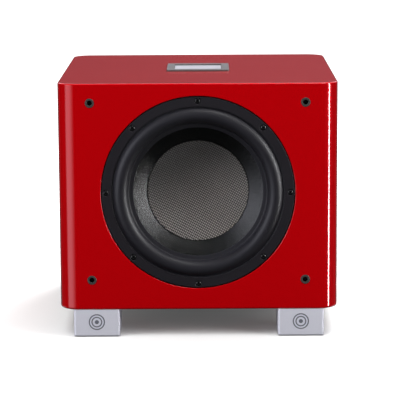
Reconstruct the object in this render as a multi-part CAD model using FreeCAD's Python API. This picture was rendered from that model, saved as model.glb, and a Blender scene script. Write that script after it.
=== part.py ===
import FreeCAD, Part
import math
import os

V = FreeCAD.Vector

# Active home subwoofer. Millimetres, +Z up, the front faces -Y, origin on the floor.

# --- cabinet ---------------------------------------------------------------
CAB_W = 377.0            # width
CAB_D = 392.0            # depth
CAB_H = 308.0            # height of the box above the feet
FOOT_H = 37.6            # floor to the underside of the box
CORNER_R = 26.0          # upright corners
TOP_EDGE_R = 2.0
BOTTOM_EDGE_R = 3.0
BOARD = 18.0             # top, bottom and side boards
END_BOARD = 26.0         # front baffle and rear board, as thick as the corner radius
ROLL_PROUD = 3.0         # how far the surround stands out in front
KNOB_OUT = 11.0          # how far the knobs stand out behind

Y_FRONT = -(CAB_D + ROLL_PROUD + KNOB_OUT) / 2 + ROLL_PROUD
Y_REAR = Y_FRONT + CAB_D
Y_MID = (Y_FRONT + Y_REAR) / 2
Z_BOT = FOOT_H
Z_TOP = FOOT_H + CAB_H
HALF_W = CAB_W / 2

# --- badge on the top ------------------------------------------------------
BADGE_W, BADGE_D, BADGE_H = 88.0, 91.0, 2.3
INSERT_W, INSERT_D, INSERT_H = 66.0, 63.0, 0.7

# --- feet ------------------------------------------------------------------
FOOT_W = 62.6            # square block
FOOT_X = 138.6           # centre of a foot from the middle
FOOT_SET_BACK = 0.5      # behind the front face, and the same at the rear
FOOT_Y = CAB_D / 2 - FOOT_SET_BACK - FOOT_W / 2
PAD_R, PAD_T, PAD_OUT = 20.0, 3.0, 0.8
FOOT_SCREW_AT = 9.0      # each way from the centre of a foot, hidden by its pad
EMBLEM_RINGS = ((11.0, 9.4), (7.4, 5.8), (2.8, 0.0))     # outer and inner radii, the last a dot
EMBLEM_T, EMBLEM_Z = 0.8, 20.4

# --- front driver, a 10-inch unit ------------------------------------------
DRIVER_Z = 197.8
REBATE_R, REBATE_T = 131.0, 6.5
CUTOUT_R = 119.0
FLANGE_R = 129.6
RING_IN_R = 116.6
SCREW_PCR = 124.2
SCREWS = 8
LIP_R = 121.2            # outer edge of the surround's glued lip
ROLL_OUT_R, ROLL_IN_R = 114.2, 94.2
CONE_R = 93.0
CAP_R, CAP_DISH = 68.5, 14.0
COIL_R = 25.0            # inside of a 50 mm voice coil

# --- grille sockets --------------------------------------------------------
PEG_X, PEG_Z, PEG_MID_Z = 288.7, 241.2, 199.2
PEG_R = 3.5

# --- amplifier plate on the rear -------------------------------------------
PLATE_W, PLATE_H, PLATE_T, PLATE_Z = 220.0, 250.0, 3.0, 190.0
SEAL_T = 1.0
CUT_W, CUT_H = 190.0, 220.0
Y_PLATE = Y_REAR - PLATE_T            # inner face of the plate
KNOBS = [("level", -65.0), ("lfe", -25.0), ("crossover", 15.0)]
KNOB_Z, KNOB_R = 268.0, 9.0
SHAFT_R = 3.0
TOGGLE_X, TOGGLE_TILT = 60.0, 12.0
JACK_X, JACK_Z = [-65.0, -40.0, -15.0], 215.0
SOCKET_X, SOCKET_Z = 55.0, 215.0
INLET_X, INLET_Z = -62.0, 92.0
SWITCH_X, SWITCH_Z, ROCKER_TILT = -12.0, 92.0, 8.0
CORE_X, CORE_Z, CORE_R, CORE_T = 52.0, 140.0, 40.0, 42.0   # the transformer's ring
CORE_BOLT_R = 3.0


# --- helpers ---------------------------------------------------------------
def box(x0, x1, y0, y1, z0, z1):
    return Part.makeBox(x1 - x0, y1 - y0, z1 - z0, V(x0, y0, z0))


def rod(r, x, y0, y1, z):
    """A cylinder along Y."""
    return Part.makeCylinder(r, y1 - y0, V(x, y0, z), V(0, 1, 0))


def across(r, centre, length):
    """A cylinder along X, centred on a point, such as a lever's pivot pin."""
    return Part.makeCylinder(r, length, centre - V(length / 2, 0, 0), V(1, 0, 0))


def post(r, x, y, z0, z1):
    """A cylinder along Z."""
    return Part.makeCylinder(r, z1 - z0, V(x, y, z0), V(0, 0, 1))


def outline(items, place):
    """A flat face from points; a pair of points is an arc through the first to the second."""
    edges = []
    here = first = place(*items[0])
    for item in items[1:]:
        if isinstance(item[0], tuple):
            middle, end = place(*item[0]), place(*item[1])
            edges.append(Part.Arc(here, middle, end).toShape())
        else:
            end = place(*item)
            edges.append(Part.makeLine(here, end))
        here = end
    if here.distanceToPoint(first) > 1e-6:
        edges.append(Part.makeLine(here, first))
    return Part.Face(Part.Wire(edges))


def turn_front(items):
    """Turned about the driver's axis: (radius, depth behind the front face)."""
    face = outline(items, lambda r, t: V(r, Y_FRONT + t, DRIVER_Z))
    return face.revolve(V(0, 0, DRIVER_Z), V(0, 1, 0), 360)


def turn_under(items):
    """Turned about the radiator's axis: (radius, height above the underside)."""
    face = outline(items, lambda r, u: V(r, Y_MID, Z_BOT + u))
    return face.revolve(V(0, Y_MID, 0), V(0, 0, 1), 360)


def ring(r_out, r_in, t0, t1):
    return [(r_out, t0), (r_out, t1), (r_in, t1), (r_in, t0)]


def around(count, r):
    """Evenly spaced points on a circle, the first one at the top."""
    steps = [math.radians(90 + 360 * k / count) for k in range(count)]
    return [(r * math.cos(a), r * math.sin(a)) for a in steps]


def plan(z0, z1):
    """The box's outline seen from above, with its round corners."""
    block = box(-HALF_W, HALF_W, Y_FRONT, Y_REAR, z0, z1)
    upright = [e for e in block.Edges if abs(e.Vertexes[0].Z - e.Vertexes[1].Z) > 1]
    return block.makeFillet(CORNER_R, upright)


def edges_at(shape, z):
    return [e for e in shape.Edges if abs(e.BoundBox.ZMin - z) < 1e-4 and abs(e.BoundBox.ZMax - z) < 1e-4]


def bored(shape, tools):
    return shape.cut(Part.makeCompound(tools))


def pipe(r, points, bend):
    """A round cord through points, with bends of one radius between straight runs."""
    edges = []
    here = points[0]
    for before, corner, after in zip(points, points[1:], points[2:]):
        a = (before - corner).normalize()
        b = (after - corner).normalize()
        start, end = corner + a * bend, corner + b * bend
        centre = corner + (a + b) * bend
        middle = centre + (corner - centre).normalize() * bend
        edges.append(Part.makeLine(here, start))
        edges.append(Part.Arc(start, middle, end).toShape())
        here = end
    edges.append(Part.makeLine(here, points[-1]))
    along = (points[1] - points[0]).normalize()
    section = Part.Wire(Part.makeCircle(r, points[0], along))
    return Part.Wire(edges).makePipeShell([section], True, False)


def save(node, *shapes):
    solids = [s for shape in shapes for s in shape.Solids]
    for solid in solids:
        if not (solid.isValid() and solid.isClosed() and solid.Volume > 0):
            raise ValueError("bad solid in " + node)
    whole = solids[0] if len(solids) == 1 else Part.makeCompound(solids)
    whole.exportStep("parts/" + node + ".step")


def screw(r_head, head, r_shank, length, at, into, hex_r):
    """A pan-head screw whose head rests at a point, with a six-sided key hole."""
    top = at - into * head
    body = Part.makeCylinder(r_head, head, top, into)
    body = body.makeFillet(0.5, [body.Edges[0] if body.Edges[0].CenterOfMass.distanceToPoint(top) < 0.01
                                 else body.Edges[2]])
    body = body.fuse(Part.makeCylinder(r_shank, length, at, into)).removeSplitter()
    side = into.cross(V(1, 0, 0)) if abs(into.x) < 0.9 else into.cross(V(0, 1, 0))
    up = into.cross(side)
    corners = [top + (side * math.cos(k * math.pi / 3) + up * math.sin(k * math.pi / 3)) * hex_r
               for k in range(7)]
    return body.cut(Part.Face(Part.makePolygon(corners)).extrude(into * (head * 0.6)))


os.makedirs("parts", exist_ok=True)

# --- cabinet boards ----------------------------------------------------------
screw_spots = around(SCREWS, SCREW_PCR)
pegs = [(sx * PEG_X / 2, PEG_MID_Z + sz * PEG_Z / 2) for sx in (-1, 1) for sz in (-1, 1)]

uprights = plan(Z_BOT + BOARD, Z_TOP - BOARD)
baffle = uprights.common(box(-HALF_W, HALF_W, Y_FRONT, Y_FRONT + END_BOARD, 0, Z_TOP))
cuts = [turn_front(ring(REBATE_R, 0, -1, REBATE_T)), turn_front(ring(CUTOUT_R, 0, -1, END_BOARD + 1))]
cuts += [rod(2.05, x, Y_FRONT, Y_FRONT + 25, DRIVER_Z + z) for x, z in screw_spots]
cuts += [rod(5.1, x, Y_FRONT - 1, Y_FRONT + 14, z) for x, z in pegs]
cuts += [rod(6.4, x, Y_FRONT - 1, Y_FRONT + 0.6, z) for x, z in pegs]
save("front_baffle", bored(baffle, cuts))

plate_spots = [(x, PLATE_Z + z) for x in (-103.0, 0.0, 103.0) for z in (-118.0, 118.0)]
plate_spots += [(x, PLATE_Z + z) for x in (-103.0, 103.0) for z in (-40.0, 40.0)]
rear = uprights.common(box(-HALF_W, HALF_W, Y_REAR - END_BOARD, Y_REAR, 0, Z_TOP))
seat_w, seat_h = PLATE_W / 2 + 0.5, PLATE_H / 2 + 0.5
cuts = [box(-seat_w, seat_w, Y_PLATE - SEAL_T, Y_REAR + 1, PLATE_Z - seat_h, PLATE_Z + seat_h),
        box(-CUT_W / 2, CUT_W / 2, Y_REAR - 40, Y_REAR + 1, PLATE_Z - CUT_H / 2, PLATE_Z + CUT_H / 2)]
cuts += [rod(1.75, x, Y_REAR - 23, Y_REAR, z) for x, z in plate_spots]
save("rear_panel", bored(rear, cuts))

for side, sign in (("left", -1), ("right", 1)):
    inner, outer = sorted((sign * (HALF_W - BOARD), sign * HALF_W))
    save(side + "_side_panel", box(inner, outer, Y_FRONT + END_BOARD, Y_REAR - END_BOARD,
                                   Z_BOT + BOARD, Z_TOP - BOARD))

top = plan(Z_TOP - BOARD, Z_TOP)
save("top_panel", top.makeFillet(TOP_EDGE_R, edges_at(top, Z_TOP)))

feet = [(ex + "_" + sx, kx * FOOT_X, Y_MID + ky * FOOT_Y)
        for ex, ky in (("front", -1), ("rear", 1)) for sx, kx in (("left", -1), ("right", 1))]
foot_screw_spots = [(x + k * FOOT_SCREW_AT, y + k * FOOT_SCREW_AT) for _, x, y in feet for k in (-1, 1)]
floor_board = plan(Z_BOT, Z_BOT + BOARD)
floor_board = floor_board.makeFillet(BOTTOM_EDGE_R, edges_at(floor_board, Z_BOT))
cuts = [turn_under(ring(REBATE_R, 0, -1, 5.0)), turn_under(ring(CUTOUT_R, 0, -1, BOARD + 1))]
cuts += [post(2.05, x, Y_MID + y, Z_BOT, Z_BOT + 17) for x, y in screw_spots]
cuts += [post(2.05, x, y, Z_BOT - 1, Z_BOT + 16) for x, y in foot_screw_spots]
save("bottom_panel", bored(floor_board, cuts))

# --- badge -------------------------------------------------------------------
frame = box(-BADGE_W / 2, BADGE_W / 2, Y_MID - BADGE_D / 2, Y_MID + BADGE_D / 2, Z_TOP, Z_TOP + BADGE_H)
frame = frame.makeFillet(3.0, [e for e in frame.Edges if abs(e.Vertexes[0].Z - e.Vertexes[1].Z) > 1])
frame = frame.makeChamfer(0.5, edges_at(frame, Z_TOP + BADGE_H))
hole_w, hole_d = INSERT_W / 2 + 0.1, INSERT_D / 2 + 0.1
save("badge_frame", frame.cut(box(-hole_w, hole_w, Y_MID - hole_d, Y_MID + hole_d,
                                  Z_TOP - 1, Z_TOP + BADGE_H + 1)))
save("badge_insert", box(-INSERT_W / 2, INSERT_W / 2, Y_MID - INSERT_D / 2, Y_MID + INSERT_D / 2,
                         Z_TOP, Z_TOP + INSERT_H))

# --- feet --------------------------------------------------------------------
pads, emblems = [], []
for name, x, y in feet:
    half = FOOT_W / 2
    foot = box(x - half, x + half, y - half, y + half, PAD_OUT, Z_BOT)
    foot = foot.makeFillet(3.0, [e for e in foot.Edges if abs(e.Vertexes[0].Z - e.Vertexes[1].Z) > 1])
    foot = foot.makeFillet(1.6, edges_at(foot, PAD_OUT))
    spots = [(x + k * FOOT_SCREW_AT, y + k * FOOT_SCREW_AT) for k in (-1, 1)]
    cuts = [post(PAD_R + 0.3, x, y, 0, PAD_T)]
    cuts += [post(2.4, sx, sy, 0, Z_BOT + 1) for sx, sy in spots]
    cuts += [post(5.0, sx, sy, 0, 16) for sx, sy in spots]
    if name.startswith("front"):
        face = y - half
        for r_out, r_in in EMBLEM_RINGS:
            groove = rod(r_out + 0.05, x, face - 1, face + EMBLEM_T, EMBLEM_Z)
            inlay = rod(r_out, x, face + 0.1, face + EMBLEM_T, EMBLEM_Z)
            if r_in:
                groove = groove.cut(rod(r_in - 0.05, x, face - 2, face + 2, EMBLEM_Z))
                inlay = inlay.cut(rod(r_in, x, face - 2, face + 2, EMBLEM_Z))
            cuts.append(groove)
            emblems.append(inlay)
    save("foot_" + name, bored(foot, cuts))
    pad = post(PAD_R, x, y, 0, PAD_T)
    pads.append(pad.makeFillet(0.6, edges_at(pad, 0)))
save("foot_pads", *pads)
save("foot_emblems", *emblems)
save("foot_screws", *[screw(4.2, 3.0, 2.0, 36.0, V(x, y, 16), V(0, 0, 1), 1.7) for x, y in foot_screw_spots])

# --- grille sockets ------------------------------------------------------------
sockets = []
for x, z in pegs:
    collar = rod(6.25, x, Y_FRONT - 0.4, Y_FRONT + 0.6, z).fuse(rod(5.0, x, Y_FRONT + 0.6, Y_FRONT + 13, z))
    sockets.append(collar.cut(rod(PEG_R, x, Y_FRONT - 1, Y_FRONT + 11, z)).removeSplitter())
save("grille_sockets", *sockets)

# --- front driver: frame and suspension -----------------------------------------
lug = box(-12, 12, Y_FRONT + 62, Y_FRONT + 65, DRIVER_Z - 97, DRIVER_Z - 76)
basket = turn_front([(FLANGE_R, 2.5), (FLANGE_R, 5.5), (117.3, 5.5), (117.3, 14), (80, 64), (73.5, 68),
                     (73.5, 76), (34, 76), (34, 72), (69.5, 72), (69.5, 58.5), (80.3, 58.5),
                     (113.5, 14), (113.5, 3.5), (LIP_R + 0.2, 3.5), (LIP_R + 0.2, 2.5)])
window = math.radians(16.5)
cuts = [rod(2.3, x, Y_FRONT, Y_FRONT + 10, DRIVER_Z + z) for x, z in screw_spots]
for k in range(8):
    middle = math.radians(45 * k)
    wedge = [(70, middle - window), (128, middle - window), (128, middle + window), (70, middle + window)]
    corners = [V(r * math.cos(a), Y_FRONT + 18, DRIVER_Z + r * math.sin(a)) for r, a in wedge + wedge[:1]]
    cuts.append(Part.Face(Part.makePolygon(corners)).extrude(V(0, 38, 0)))
save("basket", bored(basket, cuts).fuse(lug).removeSplitter())

seal = turn_front(ring(FLANGE_R - 0.6, 120.0, 5.5, REBATE_T))
save("driver_gasket", bored(seal, [rod(2.6, x, Y_FRONT, Y_FRONT + 10, DRIVER_Z + z) for x, z in screw_spots]))

trim = turn_front([(FLANGE_R, 1.1), (FLANGE_R - 0.6, 0.5), (RING_IN_R + 0.6, 0.5), (RING_IN_R, 1.1),
                   (RING_IN_R, 2.5), (FLANGE_R, 2.5)])
save("trim_ring", bored(trim, [rod(4.3, x, Y_FRONT, Y_FRONT + 5, DRIVER_Z + z) for x, z in screw_spots]))

save("driver_screws", *[screw(3.7, 1.9, 1.9, 21.0, V(x, Y_FRONT + 2.5, DRIVER_Z + z), V(0, 1, 0), 1.5)
                        for x, z in screw_spots])

save("surround", turn_front([
    (LIP_R, 2.5), (ROLL_OUT_R, 2.5), ((104.4, -ROLL_PROUD), (ROLL_IN_R - 0.5, 8.2)),
    (92.6, 8.5), (87.5, 8.5), (87.5, 9.5), (ROLL_IN_R, 9.5),
    ((104.3, 1.2 - ROLL_PROUD), (ROLL_OUT_R - 0.6, 3.5)), (LIP_R, 3.5)]))

# --- front driver: moving parts ---------------------------------------------------
save("cone", turn_front([
    (CONE_R, 9.5), (88.5, 9.5), ((58, 26.6), (26.6, 51)), (25.6, 51), (25.6, 53.5), (26.6, 53.5),
    ((58, 28.2), (88.0, 10.8)), (CONE_R, 10.8)]))
bowl_r = (CAP_R ** 2 + CAP_DISH ** 2) / (2 * CAP_DISH)
half_way = CAP_DISH - bowl_r + math.sqrt(bowl_r ** 2 - (CAP_R / 2) ** 2)
save("dust_cap", turn_front([(CAP_R, 18.7), ((CAP_R / 2, 18.7 + half_way), (0, 18.7 + CAP_DISH)),
                             (0, 19.5 + CAP_DISH), ((CAP_R / 2, 19.5 + half_way), (CAP_R, 19.5))]))
save("coil_former", turn_front(ring(COIL_R + 0.25, COIL_R, 47, 96)))
save("coil_winding", turn_front(ring(COIL_R + 1.1, COIL_R + 0.3, 68, 94)))

rolls = 9
pitch = (68.0 - 30.5) / rolls
front, back = [(76, 57.7), (68, 57.7)], [(25.6, 58.5), (30.5, 58.5)]
for k in range(rolls):
    swing = 2.0 if k % 2 else -2.0
    front.append(((68 - (k + 0.5) * pitch, 57.7 + swing), (68 - (k + 1) * pitch, 57.7)))
    swing = -2.0 if (rolls - 1 - k) % 2 == 0 else 2.0
    back.append(((30.5 + (k + 0.5) * pitch, 58.5 + swing), (30.5 + (k + 1) * pitch, 58.5)))
save("spider", turn_front(front + [(25.6, 57.7)] + back + [(76, 58.5)]))

leads = []
for x in (-6, 6):
    run = [V(x, Y_FRONT + t, DRIVER_Z - r) for r, t in ((48, 37.0), (48, 53.0), (87.4, 53.0))]
    leads.append(pipe(0.8, run, 12.0))
save("tinsel_leads", *leads)

# --- front driver: motor ------------------------------------------------------------
save("top_plate", turn_front(ring(62, 27, 76, 86)))
save("magnet", turn_front([(69, 86), (70, 87), (70, 111), (69, 112), (34, 112), (34, 86)]))
save("yoke", turn_front([(24.2, 76), (24.2, 112), (66, 112), (66, 120), (64, 122), (8, 122), (8, 76)]))
strip = box(-11, 11, Y_FRONT + 49, Y_FRONT + 62, DRIVER_Z - 97, DRIVER_Z - 87.5)
save("terminal_strip", strip)

# --- passive radiator in the floor -------------------------------------------------------
frame = turn_under([(FLANGE_R, 0.5), (FLANGE_R, 5.0), (117.3, 5.0), (117.3, 18), (113.5, 18),
                    (113.5, 1.5), (LIP_R + 0.2, 1.5), (LIP_R + 0.2, 0.5)])
save("radiator_frame", bored(frame, [post(2.3, x, Y_MID + y, Z_BOT - 1, Z_BOT + 8) for x, y in screw_spots]))
save("radiator_surround", turn_under([
    (LIP_R, 0.5), (ROLL_OUT_R, 0.5), ((104.4, -8.0), (ROLL_IN_R - 0.5, 0.2)), (92.6, 0.5), (87.5, 0.5),
    (87.5, 1.5), (ROLL_IN_R, 1.5), ((104.3, -6.8), (ROLL_OUT_R - 0.6, 1.5)), (LIP_R, 1.5)]))
save("radiator_cone", turn_under(ring(CONE_R, 0, 1.5, 7.5)))
save("radiator_weight", turn_under(ring(40, 0, 7.5, 13.5)))
save("radiator_screws", *[screw(3.7, 1.9, 1.9, 15.0, V(x, Y_MID + y, Z_BOT + 0.5), V(0, 0, 1), 1.5)
                          for x, y in screw_spots])

# --- amplifier plate ------------------------------------------------------------------------
plate = box(-PLATE_W / 2, PLATE_W / 2, Y_PLATE, Y_REAR, PLATE_Z - PLATE_H / 2, PLATE_Z + PLATE_H / 2)
plate = plate.makeFillet(3.0, [e for e in plate.Edges if abs(e.Vertexes[0].Y - e.Vertexes[1].Y) > 1])
cuts = [rod(2.1, x, Y_PLATE - 1, Y_REAR + 1, z) for x, z in plate_spots]
cuts += [rod(SHAFT_R + 0.6, x, Y_PLATE - 1, Y_REAR + 1, KNOB_Z) for _, x in KNOBS]
cuts += [rod(3.3, TOGGLE_X, Y_PLATE - 1, Y_REAR + 1, KNOB_Z)]
cuts += [rod(4.4, x, Y_PLATE - 1, Y_REAR + 1, JACK_Z) for x in JACK_X]
cuts += [rod(12.2, SOCKET_X, Y_PLATE - 1, Y_REAR + 1, SOCKET_Z)]
cuts += [box(INLET_X - 14.5, INLET_X + 14.5, Y_PLATE - 1, Y_REAR + 1, INLET_Z - 11.5, INLET_Z + 11.5)]
cuts += [box(SWITCH_X - 7.2, SWITCH_X + 7.2, Y_PLATE - 1, Y_REAR + 1, SWITCH_Z - 11.2, SWITCH_Z + 11.2)]
cuts += [rod(CORE_BOLT_R + 0.3, CORE_X, Y_PLATE - 1, Y_REAR + 1, CORE_Z)]
save("amp_plate", bored(plate, cuts))

seal = box(-PLATE_W / 2 + 1, PLATE_W / 2 - 1, Y_PLATE - SEAL_T, Y_PLATE,
           PLATE_Z - PLATE_H / 2 + 1, PLATE_Z + PLATE_H / 2 - 1)
cuts = [box(-CUT_W / 2, CUT_W / 2, Y_PLATE - 2, Y_REAR, PLATE_Z - CUT_H / 2, PLATE_Z + CUT_H / 2)]
cuts += [rod(2.1, x, Y_PLATE - 2, Y_REAR, z) for x, z in plate_spots]
save("amp_gasket", bored(seal, cuts))
save("amp_screws", *[screw(3.6, 2.0, 1.6, 22.0, V(x, Y_REAR, z), V(0, -1, 0), 1.5) for x, z in plate_spots])

# --- amplifier controls ---------------------------------------------------------------------
Y_BOARD = Y_PLATE - 15.4              # the board's face towards the plate
pots = []
for name, x in KNOBS:
    pot = box(x - 8.5, x + 8.5, Y_BOARD, Y_PLATE, KNOB_Z - 9.5, KNOB_Z + 8.5)
    pots.append(pot.cut(rod(SHAFT_R + 0.06, x, Y_BOARD + 2, Y_PLATE + 1, KNOB_Z)))
    save(name + "_shaft", rod(SHAFT_R, x, Y_BOARD + 3, Y_REAR + 8, KNOB_Z))
    knob = rod(KNOB_R, x, Y_REAR + 1, Y_REAR + KNOB_OUT, KNOB_Z)
    knob = knob.makeChamfer(1.0, [e for e in knob.Edges if abs(e.CenterOfMass.y - Y_REAR - KNOB_OUT) < 0.01])
    knob = bored(knob, [rod(SHAFT_R + 0.05, x, Y_REAR, Y_REAR + 8.2, KNOB_Z),
                        box(x - 0.6, x + 0.6, Y_REAR + KNOB_OUT - 0.5, Y_REAR + KNOB_OUT + 1,
                            KNOB_Z + 2.5, KNOB_Z + KNOB_R + 1)])
    save(name + "_knob", knob)
save("pot_bodies", *pots)

pivot = V(TOGGLE_X, Y_REAR + 0.5, KNOB_Z)
holder = box(TOGGLE_X - 6.5, TOGGLE_X + 6.5, Y_PLATE - 14, Y_PLATE, KNOB_Z - 6.5, KNOB_Z + 6.5)
holder = holder.fuse(rod(3.2, TOGGLE_X, Y_PLATE, Y_REAR + 4, KNOB_Z)).removeSplitter()
save("phase_switch_body", bored(holder, [rod(2.6, TOGGLE_X, Y_PLATE - 4, Y_REAR + 5, KNOB_Z),
                                         across(0.8, pivot, 6.6)]))
bat = Part.makeCone(1.1, 1.6, 9.2, pivot, V(0, 1, 0)).fuse(Part.makeSphere(2.3, pivot))
bat = bat.fuse(across(0.7, pivot, 6.2))
bat = bat.fuse(Part.makeSphere(1.6, pivot + V(0, 9.2, 0))).removeSplitter()
bat.rotate(pivot, V(1, 0, 0), TOGGLE_TILT)
save("phase_toggle", bat)

housing = box(SWITCH_X - 7, SWITCH_X + 7, Y_PLATE - 14, Y_REAR, SWITCH_Z - 11, SWITCH_Z + 11)
housing = housing.fuse(box(SWITCH_X - 8.5, SWITCH_X + 8.5, Y_REAR, Y_REAR + 2, SWITCH_Z - 13, SWITCH_Z + 13))
housing = housing.cut(box(SWITCH_X - 5.5, SWITCH_X + 5.5, Y_REAR - 10, Y_REAR + 3, SWITCH_Z - 9, SWITCH_Z + 9))
rocker_pivot = V(SWITCH_X, Y_REAR - 2, SWITCH_Z)
save("power_switch_body", housing.cut(across(1.3, rocker_pivot, 12.8)).removeSplitter())
key = outline([(-7.6, -3.5), (7.6, -3.5), (7.6, 4.4), (0, 3.2), (-7.6, 4.4)],
              lambda z, y: rocker_pivot + V(-5.2, y, z)).extrude(V(10.4, 0, 0))
key = key.fuse(across(1.2, rocker_pivot, 12.4)).removeSplitter()
key.rotate(rocker_pivot, V(1, 0, 0), ROCKER_TILT)
save("power_rocker", key)

shell = box(INLET_X - 14, INLET_X + 14, Y_PLATE - 20, Y_REAR, INLET_Z - 11, INLET_Z + 11)
shell = shell.fuse(box(INLET_X - 17, INLET_X + 17, Y_REAR, Y_REAR + 2.5, INLET_Z - 14, INLET_Z + 14))
mouth = outline([(-12, -8), (12, -8), (12, 3.5), (7.5, 8), (-7.5, 8), (-12, 3.5)],
                lambda x, z: V(INLET_X + x, Y_REAR - 15, INLET_Z + z)).extrude(V(0, 20, 0))
save("mains_inlet", shell.cut(mouth).removeSplitter())
pins = [box(INLET_X + x - 1, INLET_X + x + 1, Y_REAR - 15, Y_REAR - 4, INLET_Z + z - 2, INLET_Z + z + 2)
        for x, z in ((-7, -1.5), (0, 2.5), (7, -1.5))]
save("inlet_pins", *pins)

barrel = rod(12.0, SOCKET_X, Y_PLATE - 22, Y_REAR, SOCKET_Z)
barrel = barrel.fuse(box(SOCKET_X - 13, SOCKET_X + 13, Y_REAR, Y_REAR + 2.5, SOCKET_Z - 15.5, SOCKET_Z + 15.5))
barrel = barrel.cut(rod(10.0, SOCKET_X, Y_REAR - 18, Y_REAR + 3, SOCKET_Z))
save("high_level_socket", barrel.fuse(rod(5.0, SOCKET_X, Y_REAR - 19, Y_REAR - 5, SOCKET_Z)).removeSplitter())

jacks = []
for x in JACK_X:
    jack = box(x - 6, x + 6, Y_BOARD, Y_PLATE, JACK_Z - 6, JACK_Z + 6)
    jack = jack.fuse(rod(4.15, x, Y_PLATE, Y_REAR + 9, JACK_Z)).fuse(rod(6, x, Y_REAR, Y_REAR + 1.2, JACK_Z))
    jacks.append(jack.cut(rod(1.6, x, Y_REAR, Y_REAR + 10, JACK_Z)).removeSplitter())
save("rca_sockets", *jacks)

# --- amplifier insides ---------------------------------------------------------------------
save("main_board", box(-85, 32, Y_BOARD - 1.6, Y_BOARD, 198, 285))
caps = [rod(12.5, x, Y_BOARD - 36.6, Y_BOARD - 1.6, 240) for x in (-60, -30)]
save("capacitors", *caps)
core = rod(CORE_R, CORE_X, Y_PLATE - CORE_T, Y_PLATE, CORE_Z)
core = core.makeFillet(8.0, [e for e in core.Edges if abs(e.BoundBox.YMax - Y_PLATE + CORE_T) < 0.01])
dimple = rod(13.0, CORE_X, Y_PLATE - CORE_T, Y_PLATE - CORE_T + 5, CORE_Z)
save("transformer", bored(core, [dimple, rod(CORE_BOLT_R, CORE_X, Y_PLATE - 30, Y_PLATE, CORE_Z)]))
save("transformer_bolt", screw(5.5, 3.0, CORE_BOLT_R, 32.0, V(CORE_X, Y_REAR, CORE_Z), V(0, -1, 0), 2.5))
sink = box(-90, -22, Y_PLATE - 24, Y_PLATE, 128, 180)
sink = bored(sink, [box(-91, -21, Y_PLATE - 25, Y_PLATE - 5, 131 + 8 * k, 136 + 8 * k) for k in range(6)])
save("heatsink", sink)
route = [V(0, Y_BOARD - 1.6, 205), V(0, 120, 205), V(0, 120, 80), V(0, Y_FRONT + 56, 80),
         V(0, Y_FRONT + 56, DRIVER_Z - 97)]
save("driver_lead", pipe(2.5, route, 18.0))
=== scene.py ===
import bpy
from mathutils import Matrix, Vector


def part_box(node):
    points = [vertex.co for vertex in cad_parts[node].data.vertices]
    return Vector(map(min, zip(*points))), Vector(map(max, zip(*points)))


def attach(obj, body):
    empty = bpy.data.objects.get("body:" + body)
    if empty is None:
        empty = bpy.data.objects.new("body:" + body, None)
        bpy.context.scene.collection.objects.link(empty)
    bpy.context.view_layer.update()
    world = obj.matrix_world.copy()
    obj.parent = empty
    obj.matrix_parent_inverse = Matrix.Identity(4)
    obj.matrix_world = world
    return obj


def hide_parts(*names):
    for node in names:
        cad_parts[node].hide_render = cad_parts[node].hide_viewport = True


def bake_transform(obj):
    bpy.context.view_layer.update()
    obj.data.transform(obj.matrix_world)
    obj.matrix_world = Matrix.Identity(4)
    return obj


bl_info = {
    "name": "Active subwoofer",
    "version": (1, 0, 0),
    "blender": (4, 5, 0),
    "location": "3D View > Sidebar > Subwoofer",
    "description": "Builds the visible pieces of an active home subwoofer round its packed frame",
    "category": "Object",
}

import math

import bmesh
import bpy
import numpy as np
from bpy.props import FloatProperty, FloatVectorProperty, IntProperty, PointerProperty
from mathutils import Matrix, Vector

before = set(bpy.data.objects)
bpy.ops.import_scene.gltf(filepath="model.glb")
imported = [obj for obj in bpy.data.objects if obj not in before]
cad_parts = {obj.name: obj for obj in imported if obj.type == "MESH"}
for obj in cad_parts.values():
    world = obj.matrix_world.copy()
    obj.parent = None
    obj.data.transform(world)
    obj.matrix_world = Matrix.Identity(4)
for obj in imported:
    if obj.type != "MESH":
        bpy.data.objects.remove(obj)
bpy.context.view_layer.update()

MM = 0.001
ROOT, CONE, RADIATOR = "cabinet", "moving_cone", "radiator"
CONTROLS = ("level", "lfe", "crossover")
BOARDS = ("front_baffle", "rear_panel", "left_side_panel", "right_side_panel", "top_panel", "bottom_panel")


def node_box(name):
    low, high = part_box(name)
    return Vector(low), Vector(high)


def middle_of(name):
    low, high = node_box(name)
    return (low + high) / 2


# Planes and axes of the frame, in metres
Y_FRONT = node_box("front_baffle")[0].y
Y_REAR = node_box("rear_panel")[1].y
Y_MID = (Y_FRONT + Y_REAR) / 2
Z_BOTTOM = node_box("bottom_panel")[0].z
Z_TOP = node_box("top_panel")[1].z
DRIVER_Z = middle_of("trim_ring").z
RADIATOR_Y = middle_of("radiator_frame").y
ROCKER_PIVOT_Y = Y_REAR - 0.002
ROCKER_TILT = math.radians(8.0)
# Radii between which the surrounds and the centring cloth bend
ROLL_OUTER, ROLL_INNER = 0.1142, 0.0935
CLOTH_OUTER, CLOTH_INNER = 0.072, 0.028
# How far in the middle of a quarter round lies, as a share of its radius
QUARTER_MIDDLE = 0.293


# ---------------------------------------------------------------------------
# Sizes and colours that a user would change
# ---------------------------------------------------------------------------
def length(name, what, value):
    return FloatProperty(name=name, description=what, default=value, unit="LENGTH", subtype="DISTANCE",
                         precision=5)


def colour(name, what, value):
    return FloatVectorProperty(name=name, description=what, default=value, size=3, subtype="COLOR",
                               min=0.0, max=1.0)


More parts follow.
